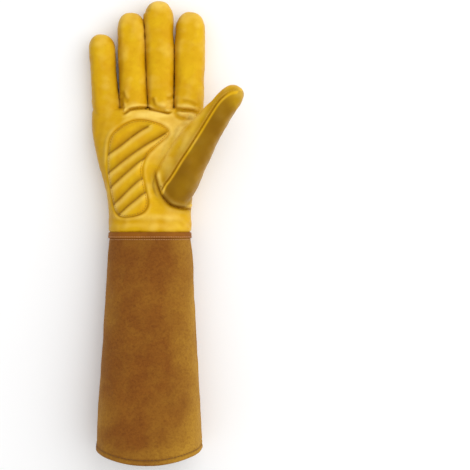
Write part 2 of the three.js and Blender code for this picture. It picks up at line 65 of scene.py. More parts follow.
palm = {
    "length": 122.0,     # wrist seam to the webs
    "wristWidth": 81.5,
    "wristHeight": 48.0,
    "knuckleWidth": 110.4,
    "knuckleHeight": 29.0,
    "knuckleShift": 3.6,
    "start": 2.2,
    "roundness": 2.5,
    "tuckDepth": 3.8,    # how far the hand steps in under the band
    "tuckLength": 10.0,
    "tuckAt": (-3.4, 2.6),
    # along, spread to the knuckles' width, drop to their height, lift of the back
    "sections": np.array([
        (0, 0, 0, .045), (.09, -.02, .04, .075), (.14, -.03, .1, .1), (.2, 0, .17, .07),
        (.28, .08, .27, .02), (.37, .24, .37, -.02), (.46, .41, .45, -.035), (.63, .71, .58, -.035),
        (.8, .915, .8, -.03), (.94, .975, .98, -.03), (1, .985, 1, -.03),
    ]),
    # back from the webs in shares of the knuckles' height, height, width
    "web": np.array([
        (0, .34, .93), (.015, .55, .955), (.04, .7, .97), (.1, .86, .985), (.2, .93, .995), (.32, .97, .998),
    ]),
}

fingerRow = namedtuple("fingerRow", "name place base width length lean bend tip")

fingers = {
    "height": 26.0,
    "sink": .6,          # their middle lies this far under half their height
    "curl": 4.0,
    "roundness": 2.6,
    "tipBlunt": .85,
    "closest": .16,      # half the gap between two fingers that touch
    "apart": 1.35,       # half the gap while the skin is being made
    # place and width at the base, width, length, lean in degrees, bend at the tip, the tip's length in widths
    "rows": [
        fingerRow("little", -.366, 26.8, 25.4, 73.2, -5.2, 2.3, .5),
        fingerRow("ring", -.113, 27.2, 26.8, 95.0, -3.5, 2.4, .8),
        fingerRow("middle", .125, 24.6, 27.8, 105.8, -1.0, -.3, .58),
        fingerRow("index", .374, 29.2, 29.4, 95.0, 1.1, 0.0, .64),
    ],
    "touching": [22, 84, 60],   # neighbours touch this far past the webs
    "parting": 16,
    # along, growth from the base's width, width, height
    "sections": np.array([
        (-.2, 0, .6, .6), (-.06, 0, .97, .95), (.06, .3, 1, 1), (.28, .85, 1, 1), (.5, 1, 1, .97),
        (.72, 1, 1, .94), (1, 1, 1, .94),
    ]),
}

thumb = {
    "length": 123.0,
    "width": 44.0,
    "height": 37.0,
    "spread": 31.0,
    "rise": 13.0,
    "root": (.245 * palm["wristWidth"], .335 * palm["length"], .6 * palm["wristHeight"]),
    "grown": 1.6,        # the thumb's own leather reaches this far over the palm
    "webSag": -1.5,      # of the leather between thumb and palm, under 0 hangs
    "webAcross": -5.5,   # where it meets the thumb
    "webDepth": 16.0,    # it is a body this deep until the skin is made
    # along, width, height, sideways
    "sections": np.array([
        (-.2, .3, .3, .02), (-.175, .58, .56, .02), (-.12, .82, .8, .02), (-.04, .96, .95, .01),
        (.1, 1, 1, 0), (.28, .93, .96, -.02), (.46, .82, .87, -.02), (.62, .69, .77, .02),
        (.76, .59, .71, .065), (.87, .54, .66, .105), (.935, .46, .56, .13), (.975, .34, .4, .14),
        (.995, .17, .2, .145),
    ]),
    # the leather between thumb and palm: along the thumb, and where it meets the palm
    "webLine": [(-4, 5, 62), (12, 7.5, 72), (28, 13, 86), (44, 22, 99), (60, 33, 110), (72, 43, 117)],
}


def mix(a, b, t):
    return a + (b - a) * t


def smooth(low, high, x):
    t = np.clip((np.asarray(x, float) - low) / (high - low), 0, 1)
    return t * t * (3 - 2 * t)


# A hump of height 1 round 0.
def bell(x, width):
    return np.exp(-(x / width) ** 2)


# A column of a table at any place, on a smooth curve that never swings past its rows.
def row(table, column, place):
    x, y = table[:, 0], table[:, column]
    slope = np.diff(y) / np.diff(x)
    tangent = np.zeros_like(y)
    both = slope[:-1] * slope[1:]
    safe = np.where(both > 0, slope[:-1] + slope[1:], 1)
    tangent[1:-1] = np.where(both > 0, 2 * both / safe, 0)
    tangent[0], tangent[-1] = slope[0], slope[-1]
    place = np.clip(place, x[0], x[-1])
    i = np.clip(np.searchsorted(x, place, side="right") - 1, 0, len(x) - 2)
    wide = x[i + 1] - x[i]
    t = (place - x[i]) / wide
    return ((2 * t**3 - 3 * t**2 + 1) * y[i] + (t**3 - 2 * t**2 + t) * wide * tangent[i]
            + (3 * t**2 - 2 * t**3) * y[i + 1] + (t**3 - t**2) * wide * tangent[i + 1])


def lengthAlong(line):
    return np.concatenate([[0], np.cumsum(np.linalg.norm(np.diff(line, axis=0), axis=1))])


# A smooth line through a few points, at even steps.
def throughPoints(points, count=60):
    points = np.asarray(points, float)
    padded = np.vstack([2 * points[0] - points[1], points, 2 * points[-1] - points[-2]])
    line = []
    for i in range(1, len(padded) - 2):
        a, b, c, d = padded[i - 1:i + 3]
        for t in np.linspace(0, 1, 24, endpoint=False):
            line.append(.5 * (2 * b + (c - a) * t + (2 * a - 5 * b + 4 * c - d) * t**2
                              + (3 * b - a - 3 * c + d) * t**3))
    line.append(points[-1])
    line = np.array(line)
    reach = lengthAlong(line)
    even = np.linspace(0, reach[-1], count)
    return np.stack([np.interp(even, reach, line[:, k]) for k in range(line.shape[1])], 1)


# Distance from points to a line of points, on which side (left is positive), and how far along it.
def nearLine(points, line):
    best = np.full(len(points), 1e9)
    side = np.ones(len(points))
    share = np.zeros(len(points))
    for i in range(len(line) - 1):
        a, b = line[i], line[i + 1]
        step = b - a
        t = np.clip(((points - a) @ step) / (step @ step), 0, 1)
        away = points - a - t[:, None] * step
        gap = np.hypot(away[:, 0], away[:, 1])
        closer = gap < best
        best[closer] = gap[closer]
        turn = step[0] * away[:, 1] - step[1] * away[:, 0]
        side[closer] = np.sign(turn[closer])
        share[closer] = (i + t[closer]) / (len(line) - 1)
    return best, side, share


def superRing(count, roundness):
    angle = np.arange(count) / count * 2 * math.pi
    c, s = np.cos(angle), np.sin(angle)
    return np.sign(c) * np.abs(c) ** (2 / roundness), np.sign(s) * np.abs(s) ** (2 / roundness)


def toFrame(points):
    return np.asarray(points, float) * mm + origin


def fromFrame(points):
    return (np.asarray(points, float) - origin) / mm


def getPoints(o):
    flat = np.zeros(len(o.data.vertices) * 3)
    o.data.vertices.foreach_get("co", flat)
    return fromFrame(flat.reshape(-1, 3))


def setPoints(o, points):
    o.data.vertices.foreach_set("co", toFrame(points).ravel())
    o.data.update()


def getNormals(o):
    flat = np.zeros(len(o.data.vertices) * 3)
    o.data.vertex_normals.foreach_get("vector", flat)
    return flat.reshape(-1, 3)


def onlySelect(o):
    bpy.ops.object.select_all(action="DESELECT")
    o.select_set(True)
    bpy.context.view_layer.objects.active = o


def applyModifier(o, kind, **values):
    onlySelect(o)
    bpy.ops.object.modifier_add(type=kind)
    modifier = o.modifiers[-1]
    for key, value in values.items():
        setattr(modifier, key, value)
    bpy.ops.object.modifier_apply(modifier=modifier.name)


# A grid laid through rows of points. Columns that meet are sewn, and so are rows that shrink to a point.
def layGrid(name, rows, sew=True):
    rows = np.asarray(rows, float)
    down, across = rows.shape[:2]
    bpy.ops.object.select_all(action="DESELECT")
    bpy.ops.mesh.primitive_grid_add(x_subdivisions=across - 1, y_subdivisions=down - 1, size=1)
    o = bpy.context.object
    o.name = name
    flat = np.zeros(len(o.data.vertices) * 3)
    o.data.vertices.foreach_get("co", flat)
    spots = flat.reshape(-1, 3) + .5
    column = np.rint(spots[:, 0] * (across - 1)).astype(int)
    line = np.rint(spots[:, 1] * (down - 1)).astype(int)
    setPoints(o, rows[line, column])
    if sew:
        bpy.ops.object.mode_set(mode="EDIT")
        bpy.ops.mesh.select_all(action="SELECT")
        bpy.ops.mesh.remove_doubles(threshold=1e-6)
        bpy.ops.mesh.normals_make_consistent(inside=False)
        bpy.ops.object.mode_set(mode="OBJECT")
    return o


# A closed body through rings of points.
def closedBody(name, rings):
    rings = np.asarray(rings, float)
    first = np.repeat(rings[0].mean(0)[None, None], rings.shape[1], 1)
    last = np.repeat(rings[-1].mean(0)[None, None], rings.shape[1], 1)
    rows = np.concatenate([first, rings, last])
    rows = np.concatenate([rows, rows[:, :1]], 1)
    return layGrid(name, rows)


def copyOf(o, name):
    onlySelect(o)
    bpy.ops.object.duplicate()
    made = bpy.context.object
    made.name = name
    return made


def joinAll(name, parts):
    bpy.ops.object.select_all(action="DESELECT")
    for o in parts:
        o.select_set(True)
    bpy.context.view_layer.objects.active = parts[0]
    bpy.ops.object.join()
    parts[0].name = name
    return parts[0]


def drop(*objects):
    for o in objects:
        bpy.data.objects.remove(o, do_unlink=True)


def palmAt(y):
    along = (np.asarray(y, float) - palm["start"]) / (palm["length"] - palm["start"])
    spread = row(palm["sections"], 1, along)
    dropped = row(palm["sections"], 2, along)
    lift = row(palm["sections"], 3, along)
    return {
        "x": -palm["knuckleShift"] * np.maximum(spread, 0),
        "half": mix(palm["wristWidth"], palm["knuckleWidth"], spread) / 2,
        "high": mix(palm["wristHeight"], palm["knuckleHeight"], dropped),
        "low": palm["wristHeight"] * lift,
        "round": mix(2.15, palm["roundness"], np.maximum(spread, 0)),
    }


def palmTop(x, y):
    p = palmAt(y)
    middle, half = (p["high"] + p["low"]) / 2, (p["high"] - p["low"]) / 2
    across = np.minimum(np.abs((x - p["x"]) / p["half"]), 1)
    return middle + half * (1 - across ** p["round"]) ** (1 / p["round"])


def fingerMiddle(y):
    beyond = np.maximum(np.asarray(y, float) - palm["length"], 0) / fingers["rows"][2].length
    return fingers["height"] / 2 - fingers["sink"] + fingers["curl"] * beyond**2


def fingerX(finger, y):
    beyond = np.asarray(y, float) - palm["length"]
    lean = math.tan(math.radians(finger.lean)) * beyond
    bend = finger.bend * (np.maximum(beyond, 0) / finger.length) ** 2
    return -palm["knuckleShift"] + finger.place * palm["knuckleWidth"] + lean + bend


def fingerHalf(finger, y):
    along = (y - palm["length"]) / finger.length
    table = fingers["sections"]
    half = mix(finger.base, finger.width, row(table, 1, along)) * row(table, 2, along) / 2
    tip = finger.width * finger.tip
    out = np.clip((y - palm["length"] - finger.length + tip) / tip, 0, 1)
    return half * np.cos(np.arcsin(out)) ** fingers["tipBlunt"]


def thumbFrame():
    spread, rise = math.radians(thumb["spread"]), math.radians(thumb["rise"])
    out = np.array([math.sin(spread) * math.cos(rise), math.cos(spread) * math.cos(rise), math.sin(rise)])
    across = np.array([math.cos(spread), -math.sin(spread), 0.0])
    return np.array(thumb["root"]), out, across, np.cross(across, out)


def thumbPoint(along, across, up):
    root, out, side, top = thumbFrame()
    return root + np.multiply.outer(along, out) + np.multiply.outer(across, side) + np.multiply.outer(up, top)


def thumbSizes(share):
    table = thumb["sections"]
    return (row(table, 1, share) * thumb["width"] / 2, row(table, 2, share) * thumb["height"] / 2,
            row(table, 3, share) * thumb["width"])


# How far a point is from the thumb's skin grown by `grown`, roughly: under 0 is inside.
def thumbDepth(points, grown):
    root, out, side, top = thumbFrame()
    away = points - root
    along, across, up = away @ out, away @ side, away @ top
    share = np.clip(along / thumb["length"], thumb["sections"][0, 0], thumb["sections"][-1, 0])
    width, height, shift = thumbSizes(share)
    width, height = width + grown, height + grown
    e = fingers["roundness"]
    reach = (np.abs((across - shift) / width) ** e + np.abs(up / height) ** e + 1e-9) ** (1 / e)
    beyond = np.maximum(np.abs(along - share * thumb["length"]) - grown, 0)
    return (reach - 1) * np.minimum(width, height) + beyond


def palmRings():
    rings = []
    web = palm["web"]
    nearWebs = palm["length"] - np.array([.6, .3, .1, 0])
    stations = np.arange(-palm["tuckLength"], palm["length"], leather["ringStep"])
    for y in np.concatenate([stations, nearWebs]):
        p = palmAt(y)
        tuck = palm["tuckDepth"] * (1 - smooth(*palm["tuckAt"], y))
        back = (palm["length"] - y) / palm["knuckleHeight"]
        height = np.interp(back, web[:, 0], web[:, 1], right=1)
        width = np.interp(back, web[:, 0], web[:, 2], right=1)
        c, s = superRing(leather["palmRing"], p["round"])
        middle = (p["high"] + p["low"]) / 2
        half = ((p["high"] - p["low"]) / 2 - tuck) * height
        x = p["x"] + (p["half"] - tuck) * width * c
        rings.append(np.stack([x, np.full_like(x, y), np.maximum(middle + half * s, 0)], 1))
    return rings


# Half the space between a finger's side and its neighbour's, on the left (-1) or right (+1).
def gapBeside(k, side, y):
    other = k + side
    if not 0 <= other < len(fingers["rows"]):
        return np.full_like(np.asarray(y, float), 1e3)
    mine, theirs = fingers["rows"][k], fingers["rows"][other]
    apart = np.abs(fingerX(mine, y) - fingerX(theirs, y))
    return (apart - fingerHalf(mine, y) - fingerHalf(theirs, y)) / 2


def relief(k, side, y):
    missing = np.maximum(fingers["apart"] - gapBeside(k, side, y), 0)
    return missing * smooth(palm["length"] - 10, palm["length"] - 2, y)


def fingerRings(k):
    finger = fingers["rows"][k]
    tip = finger.width * finger.tip
    start = palm["length"] - .2 * finger.length
    end = palm["length"] + finger.length
    rounded = end - tip + tip * np.sin(np.radians(np.arange(0, 89, 4)))
    c, s = superRing(leather["fingerRing"], fingers["roundness"])
    rings = []
    for y in np.concatenate([np.arange(start, end - tip, leather["ringStep"]), rounded]):
        half = fingerHalf(finger, y)
        side = np.where(c > 0, half - relief(k, 1, y), half - relief(k, -1, y))
        along = (y - palm["length"]) / finger.length
        out = np.clip((y - end + tip) / tip, 0, 1)
        tall = fingers["height"] * row(fingers["sections"], 3, along)
        high = tall / 2 * np.cos(np.arcsin(out)) ** fingers["tipBlunt"]
        x = fingerX(finger, y) + np.maximum(side, .3) * c
        z = fingerMiddle(y) + np.maximum(high, .3) * s
        rings.append(np.stack([x, np.full_like(x, y), np.maximum(z, 0)], 1))
    return rings


def thumbRings(grown=0.0):
    first, last = thumb["sections"][0, 0], thumb["sections"][-1, 0]
    shares = np.concatenate([
        np.linspace(first, 0, 24, endpoint=False), np.linspace(0, .9, 70, endpoint=False),
        np.linspace(.9, last, 24),
    ])
    ends = np.zeros(len(shares))
    ends[0], ends[-1] = -grown, grown
    c, s = superRing(leather["fingerRing"], fingers["roundness"])
    rings = []
    for share, end in zip(shares, ends):
        width, height, shift = thumbSizes(share)
        along = share * thumb["length"] + end
        rings.append(thumbPoint(along, shift + (width + grown) * c, (height + grown) * s))
    return rings


# The leather that runs from the palm up to the thumb's long seam.
def webRings():
    across, e = thumb["webAcross"], fingers["roundness"]
    down = np.array([0, 0, -thumb["webDepth"]])
    rings = []
    for along, x, y in throughPoints(thumb["webLine"], 24):
        width, height, shift = thumbSizes(along / thumb["length"])
        rise = height * (1 - abs((across - shift) / width) ** e) ** (1 / e)
        crest = thumbPoint(along, across, rise - .7)
        foot = np.array([x, y, palmTop(x, y) - .6])
        middle = mix(foot, crest, .5) + np.array([0, 0, thumb["webSag"]])
        upper = mix(mix(foot, crest, .75), middle, .35)
        lower = mix(mix(foot, crest, .25), middle, .35)
        rings.append([crest, upper, middle, lower, foot, foot + down * .6, middle + down, crest + down])
    return rings


def makeSkin():
    parts = [closedBody("palmBody", palmRings())]
    for k in range(len(fingers["rows"])):
        parts.append(closedBody("fingerBody", fingerRings(k)))
    parts.append(closedBody("thumbBody", thumbRings()))
    parts.append(closedBody("webBody", webRings()))
    skin = joinAll("skin", parts)
    skin.data.remesh_voxel_size = leather["voxel"] * mm
    onlySelect(skin)
    bpy.ops.object.voxel_remesh()
    applyModifier(skin, "SMOOTH", factor=.5, iterations=leather["smoothing"])
    return skin


# Fingers were kept apart while the skin was made. This brings neighbours back until they touch.
def closeFingers(skin):
    points = getPoints(skin)
    x, y = points[:, 0].copy(), points[:, 1]
    hands = fingers["rows"]

    def plainHalf(finger):
        grow = row(fingers["sections"], 1, (y - palm["length"]) / finger.length)
        return mix(finger.base, finger.width, grow) / 2

    for k, finger in enumerate(hands):
        middle = fingerX(finger, y)
        left = np.full_like(y, -1e3)
        right = np.full_like(y, 1e3)
        if k > 0:
            left = (middle + fingerX(hands[k - 1], y) + plainHalf(hands[k - 1]) - plainHalf(finger)) / 2
        if k < len(hands) - 1:
            right = (middle + fingerX(hands[k + 1], y) - plainHalf(hands[k + 1]) + plainHalf(finger)) / 2
        mine = (x > left) & (x <= right) & (y > palm["length"] - 6)
        half = fingerHalf(finger, y)
        for side in (-1, 1):
            gap = gapBeside(k, side, y)
            narrow = np.maximum(half - relief(k, side, y), .5)
            pair = min(k, k + side) if 0 <= k + side < len(hands) else 0
            touch = fingers["touching"][pair]
            joined = 1 - smooth(touch, touch + fingers["parting"], y - palm["length"])
            closed = joined * (1 - smooth(3.5, 6, gap))
            wide = half + closed * (gap - fingers["closest"])
            share = mix(1, wide / narrow, smooth(palm["length"] - 3, palm["length"] + 3, y))
            here = mine & (np.sign(x - middle) == side) & (gap < 50)
            points[here, 0] = (middle + (x - middle) * share)[here]
    setPoints(skin, points)


def seamHeight(y):
    p = palmAt(np.minimum(y, palm["length"]))
    share = np.clip(np.asarray(y, float) / palm["length"], 0, 1)
    return mix((p["high"] + p["low"]) / 2, fingerMiddle(y), share)

# Seams and folds that are drawn into the skin, in the plane seen from above. depth and width are the
# groove's, left and right the height of the lips on either side of the line's direction, dark the painted
# shade in the groove.
marks = {
    "arch": {
        "line": [
            (-28.2, 118.2), (-25.9, 116), (-23, 117.6), (-19.2, 120.2), (-14.3, 121.3), (-9.5, 121.8),
            (-3, 121.8), (.4, 120.7), (5.5, 119.3), (10.4, 118.2), (14.3, 117.4), (17.3, 116.8),
            (20.2, 117.3), (23.4, 119.2),
        ],
        "depth": 1.9, "width": 1.05, "left": 1.0, "right": .5, "lip": 2.8, "dark": .85,
    },
    "ringFold": {
        "line": [(-28.6, 138.5), (-26.4, 133), (-24.2, 129.4), (-21, 127.8)],
        "depth": .9, "width": 2.4, "left": .45, "right": .4, "lip": 3.8, "dark": .22,
    },
    "ringTuck": {
        "line": [(-29.4, 132.5), (-27.9, 127.5), (-26.6, 123.4)],
        "depth": .8, "width": 1.8, "left": .4, "right": .4, "lip": 3.0, "dark": .25,
    },
    "middleFold": {
        "line": [(.8, 133), (2.6, 126.4), (5.3, 122.8), (10.3, 120.8), (16.4, 119.5)],
        "depth": 1.0, "width": 2.2, "left": .8, "right": .3, "lip": 3.8, "dark": .26,
    },
    "middleTuck": {
        "line": [(23.4, 136), (20.6, 132), (16, 131.2)],
        "depth": .5, "width": 1.5, "left": .3, "right": .4, "lip": 2.8, "dark": .22,
    },
    "indexFar": {
        "line": [(30.9, 128.5), (36.8, 128), (41.7, 126.1), (45.6, 123.4)],
        "depth": .6, "width": 1.8, "left": .2, "right": .35, "lip": 3.0, "dark": .22,
    },
    "indexFold": {
        "line": [
            (24, 120.7), (29.9, 119.9), (35.8, 119.5), (41.7, 118.9), (45.6, 117.2), (49, 115.2),
        ],
        "depth": 1.7, "width": 1.7, "left": 1.0, "right": .9, "lip": 3.6, "dark": .5, "fade": (.12, .35),
    },
    "indexNear": {
        "line": [
            (24.2, 119.6), (26.5, 115.2), (29.5, 112.3), (35.9, 111.4), (40, 110.3), (44, 109.4),
        ],
        "depth": 1.1, "width": 2.2, "left": .7, "right": .5, "lip": 3.8, "dark": .28, "fade": (.12, .3),
    },
    "crest": {
        "line": [
            (12, 38.5), (15.3, 45.9), (19.2, 50.6), (24.1, 57.9), (31, 68.9), (38.6, 80), (45.6, 90.8),
            (52.3, 101.5), (58.1, 110.9), (63.9, 119.9), (68.7, 126), (74.4, 131), (79.5, 133.8),
            (84, 134.6),
        ],
        "depth": 1.2, "width": .75, "left": .25, "right": .5, "lip": 1.6, "dark": .8, "fade": (.03, .12),
    },
    "root": {
        "line": [
            (5.9, 63), (5.9, 56), (7.4, 48.6), (11.3, 37), (14.7, 31.6), (18.6, 27.7), (23.5, 24.8),
            (34.2, 22.4), (43, 22.8),
        ],
        "depth": 1.7, "width": .9, "left": 1.5, "right": .5, "lip": 3.6, "dark": .85, "fade": (.15, .01),
    },
    "valley": {
        "line": [(37, 106), (35.5, 97), (31, 87), (25, 78), (20, 70)],
        "depth": .6, "width": 3.6, "left": .2, "right": .3, "lip": 6, "dark": .06,
    },
    "wrist": {
        "line": [(-38, 9), (-15, 10.4), (12, 10.2), (38, 8.6)],
        "depth": .35, "width": 2.4, "left": .2, "right": .25, "lip": 5, "dark": .1,
    },
}

# Outline of the quilted patch, from its upper left corner round to the right and back, and its quilting.
patchOutline = [
    (-40.8, 76), (-39.4, 88.6), (-36.2, 96), (-30.6, 101.2), (-24.7, 105.3), (-18.8, 108.2),
    (-12, 109.6), (-4.1, 109.4), (3.4, 108), (10.6, 105.7), (16.3, 102.4), (18.7, 98), (16.8, 93),
    (8, 85), (.4, 77.8), (-4.6, 69.6), (-6.7, 60.5), (-6, 52.5), (-4.4, 45.7), (-2.5, 37.8), (-1, 30.6),
    (-1.4, 25), (-4, 20.4), (-8.4, 17.2), (-15, 15.2), (-22, 14.4), (-28.4, 15.4), (-32, 18.8),
    (-35.2, 26.5), (-38.2, 41), (-40.4, 53), (-41.2, 65), (-40.8, 76),
]
quilting = [
    [(-42.6, 74), (-35.1, 79), (-26.2, 85.5), (-16.6, 93.2), (-8.7, 98.8), (-1.9, 102.6)],
    [(-42.8, 55.4), (-35, 61.4), (-25.1, 69.3), (-13.4, 78), (-1.8, 85.9), (7.9, 91.4), (15.5, 96)],
    [(-39.4, 41.8), (-30, 50.6), (-20.1, 59.3), (-10.4, 67.6), (-1.8, 72.8)],
    [(-36.2, 25.4), (-27.8, 33), (-18, 42.7), (-10.3, 49.5), (-4, 53)],
    [(-30.6, 15.4), (-20.7, 24.7), (-12.9, 31), (-7.2, 35.8), (-1.8, 39)],
]

# Full places between the folds: x, y, half width, half length, turn in degrees, height.
puffs = [
    (12.8, 125.2, 4.6, 3.2, -25, .9), (19.6, 123.6, 3.4, 3.2, 0, .8), (6.5, 118, 5, 2.2, -12, .4),
    (-24.2, 122.2, 2.6, 3.4, 20, .7), (-14, 125.4, 7, 3.4, 0, .55), (35, 115.6, 8, 2.0, -6, .9),
    (37, 123.4, 8, 2.6, -8, .6), (-2, 114.5, 18, 3.2, 0, .5), (27, 104, 7, 8, 20, .5),
    (28, 26.8, 9, 2.6, -14, .5),
]

# Painted light and painted shade: the pale places are painted light on lit parts (palm, web, fingertips,
# above the wrist), the shade places painted shade on the hand's left side: x, y, half width, half length,
# turn, strength.
paintedPlaces = {
    "pale": [
        (8, 98, 26, 18, 35, .34), (-4, 115.5, 24, 3.4, 0, .5), (24, 84, 12, 26, -32, .3),
        (-51.5, 186, 12, 6, 0, .3), (-20, 211, 12, 6, 0, .3), (8, 224, 12, 6, 0, .3),
        (38, 212, 12, 6, 0, .3), (12, 12, 34, 5, 0, .1), (40, 112, 9, 8, 0, .5),
    ],
    "shade": [
        (-34, 140, 10, 26, 0, .18), (-42, 90, 8, 30, 8, .15),
    ],
}


def blobs(points, rows):
    total = np.zeros(len(points))
    for px, py, wide, long, turn, much in rows:
        c, s = math.cos(math.radians(turn)), math.sin(math.radians(turn))
        u = (points[:, 0] - px) * c + (points[:, 1] - py) * s
        v = (points[:, 1] - py) * c - (points[:, 0] - px) * s
        total += much * np.exp(-(u / wide) ** 2 - (v / long) ** 2)
    return total


thumbShade = {
    "face": .88,          # painted shade on the thumb's outer face
    "turned": .2,         # less of it where the face turns to the right
    "tip": .58,           # share of it that is left at the tip
    "uneven": .07,
    "flank": .42,         # painted shade on the seam's other side
    "rim": .2,            # less painted light along the seam's edge
    "root": .36,          # shade on the palm along the root's seam
    "left": .3,           # shade on what faces left
}


# Painted light and painted shade: the listed pale and shaded places, painted shade on faces that look left,
# on the thumb's outer face and flank and along the root's seam, and less painted light beside the thumb's
# long seam.
def paintedLightAndShade(points, normals):
    look = thumbShade
    nx, nz = normals[:, 0], normals[:, 2]
    up = smooth(-.2, .3, nz)
    distance, side, share = nearLine(points[:, :2], throughPoints(marks["crest"]["line"], 48))
    fromRoot, rootSide, _ = nearLine(points[:, :2], throughPoints(marks["root"]["line"], 48))
    inside = smooth(2.5, -1, thumbDepth(points, thumb["grown"]))
    inside = inside * np.where(nz > -.3, smooth(-.3, .5, fromRoot * rootSide), 1)
    # Painted shade on the thumb's outer face beyond the long seam, fading towards the tip, and on the flank
    # before it.
    face = smooth(1.7, 3.6, -side * distance) * inside * mix(look["tip"], 1, smooth(1, .84, share))
    flank = bell(distance - 2, 6.5 - 3.5 * smooth(.2, .6, share)) * (side > 0) * inside
    pale = blobs(points, paintedPlaces["pale"]) * up * (1 + .3 * wobble(points, 20, 31))
    pale -= look["rim"] * bell(distance - 1.7, 1.1) * (side < 0) * inside * up
    shade = blobs(points, paintedPlaces["shade"]) * up
    shade += look["left"] * smooth(.25, .8, -nx) * (1 - inside)
    # brown is the strength of the painted shade on the outer face, less where the face turns to the right.
    brown = look["face"] - look["turned"] * smooth(.3, 1, nx)
    shade += face * brown * (1 + look["uneven"] * wobble(points, 26, 32)) + look["flank"] * flank
    shade += look["root"] * bell(fromRoot, 5) * (rootSide < 0) * up * smooth(66, 50, points[:, 1])
    return np.clip(pale, -.3, .8), np.clip(shade, 0, .95)


def wobble(points, size, seed):
    waves = np.random.default_rng(seed)
    total = np.zeros(len(points))
    for _ in range(9):
        way = waves.normal(size=3)
        way *= 2 * math.pi / (size * waves.uniform(.7, 1.5)) / np.linalg.norm(way)
        total += np.sin(points @ way + waves.uniform(0, 2 * math.pi))
    return total / 3


def grooveAt(distance, side, mark):
    lip = np.where(side > 0, mark["left"], mark["right"])
    lips = lip * bell(distance - mark["lip"], mark["lip"] * .55)
    return lips - mark["depth"] * bell(distance, mark["width"])


back = {
    "shirring": 21.0,        # where the elastic is sewn, over the wrist seam
    "shirringDepth": 1.9,
    "pleatDepth": 1.5,
    "pleatReach": 30.0,      # the pleats run out this far above the elastic
    "pleatPitch": 6.4,
    "zigzag": 2.0,
    "zigzagPitch": 8.2,
    "width": .8,             # in shares of the hand's half width
}


# The seams that follow the body. Of a lip: height, distance from the seam, width. Of a groove: depth, width.
# dark and darkHeel are painted shade in the groove.
seams = {
    "patch": {"lip": (.4, 2.8, 1.6), "groove": (.55, 1.2), "dark": .12, "darkHeel": .5},
    "side": {"lip": (.3, 1.7, 1.0), "groove": (.75, .8), "dark": .7},
    "root": {"lip": (1.25, -4.2, 2.6), "farLip": (.35, 2.8, 1.4), "groove": (1.7, 1.15), "strength": .5},
}


def ridge(distance, lip):
    height, place, width = lip
    return height * bell(distance - place, width)


def dip(distance, groove):
    depth, width = groove
    return depth * bell(distance, width)


def within(points, low, high):
    return np.all((points[:, :2] > low) & (points[:, :2] < high), axis=1)


def darken(crease, amount, where=slice(None)):
    crease[where] = np.maximum(crease[where], amount)


def drawnMarks(points, facing, push, crease):
    for mark in marks.values():
        line = throughPoints(mark["line"], 48)
        reach = mark["lip"] * 2.5 + 2
        near = within(points, line.min(0) - reach, line.max(0) + reach) & (facing > 0)
        distance, side, share = nearLine(points[near, :2], line)
        start, end = mark.get("fade", (.12, .12))
        ends = np.minimum(smooth(0, start, share), smooth(0, end, 1 - share)) * facing[near]
        push[near] += grooveAt(distance, side, mark) * ends
        # Painted shade in the groove.
        darken(crease, mark["dark"] * bell(distance, mark["width"] * 1.2) * ends, near)


# The palm sinks under the patch's edge, with painted shade along it that is darker towards the heel.
def patchMarks(points, facing, push, crease):
    near = within(points, (-52, 5), (28, 120)) & (facing > 0)
    distance, side, _ = nearLine(points[near, :2], throughPoints(patchOutline, 150))
    look = seams["patch"]
    rise = ridge(distance, look["lip"]) * (side > 0) - dip(distance, look["groove"])
    push[near] += rise * facing[near]
    heel = look["dark"] + look["darkHeel"] * smooth(60, 25, points[near, 1])
    darken(crease, heel * bell(distance, 1.0), near)


# The seam along the hand's and the fingers' outer sides, with painted shade in its groove.
def sideSeam(points, normals, push, crease):
    x, y, z = points.T
    upright = np.sqrt(np.maximum(1 - normals[:, 2] ** 2, .1))
    off = np.abs(z - seamHeight(y)) / upright
    outer = smooth(-1, 3, thumbDepth(points, thumb["grown"])) * smooth(.35, .7, upright) * smooth(4, 9, y)
    for a, b in zip(fingers["rows"], fingers["rows"][1:]):
        fork = 1 - smooth(14, 20, np.abs(x - (fingerX(a, y) + fingerX(b, y)) / 2))
        ahead = smooth(palm["length"] - 8, palm["length"], y)
        outer = outer * (1 - fork * ahead * (y < palm["length"] + min(a.length, b.length) - 12))
    look = seams["side"]
    push += outer * (ridge(off, look["lip"]) - dip(off, look["groove"]))
    darken(crease, look["dark"] * outer * bell(off, .9))


# The seam round the thumb's root, on the back of the hand, with painted shade in its groove.
def rootSeam(points, normals, push, crease):
    grown, step = thumb["grown"], .2
    close = np.abs(thumbDepth(points, grown)) < 14
    near, facing = points[close], normals[close]
    depth = thumbDepth(near, grown)
    slope = np.stack([(thumbDepth(near + step * axis, grown) - depth) / step for axis in np.eye(3)], 1)
    slope -= facing * (slope * facing).sum(1)[:, None]
    steep = np.linalg.norm(slope, axis=1)
    away = depth / np.maximum(steep, .35)
    root, out, _, _ = thumbFrame()
    look = seams["root"]
    strength = look["strength"] * smooth(-.1, .4, -facing[:, 2]) * smooth(.4, .7, steep)
    strength = strength * (1 - smooth(40, 60, (near - root) @ out))
    lips = ridge(away, look["lip"]) + ridge(away, look["farLip"])
    push[close] += strength * (lips - dip(away, look["groove"]))
    darken(crease, strength * bell(away, 1.2), close)


# Elastic gathers across the back of the wrist, with painted shade along the elastic and in the pleats'
# hollows.
def gathers(points, normals, push, crease):
    x, y = points[:, 0], points[:, 1]
    p = palmAt(y)
    across = np.abs((x - p["x"]) / p["half"])
    sewn = smooth(0, .5, -normals[:, 2]) * (1 - smooth(back["width"] - .12, back["width"] + .06, across))
    off = y - back["shirring"] - back["zigzag"] * zigzag(x)
    fade = np.where(off > 0, 1 - smooth(0, back["pleatReach"], off), bell(off, 4))
    place = x + 1.5 * np.sin(y * .13 + x * .4)
    turn = 2 * math.pi * place / back["pleatPitch"] + .8 * np.sin(x * .21) + .5 * wobble(points, 16, 5)
    pleats = np.cos(turn)
    push -= sewn * back["shirringDepth"] * bell(off, 1.5)
    push += sewn * back["pleatDepth"] * fade * pleats * smooth(.2, 2.5, np.abs(off))
    darken(crease, .6 * sewn * np.maximum(bell(off, 1.2), fade * smooth(.2, 1, -pleats)))
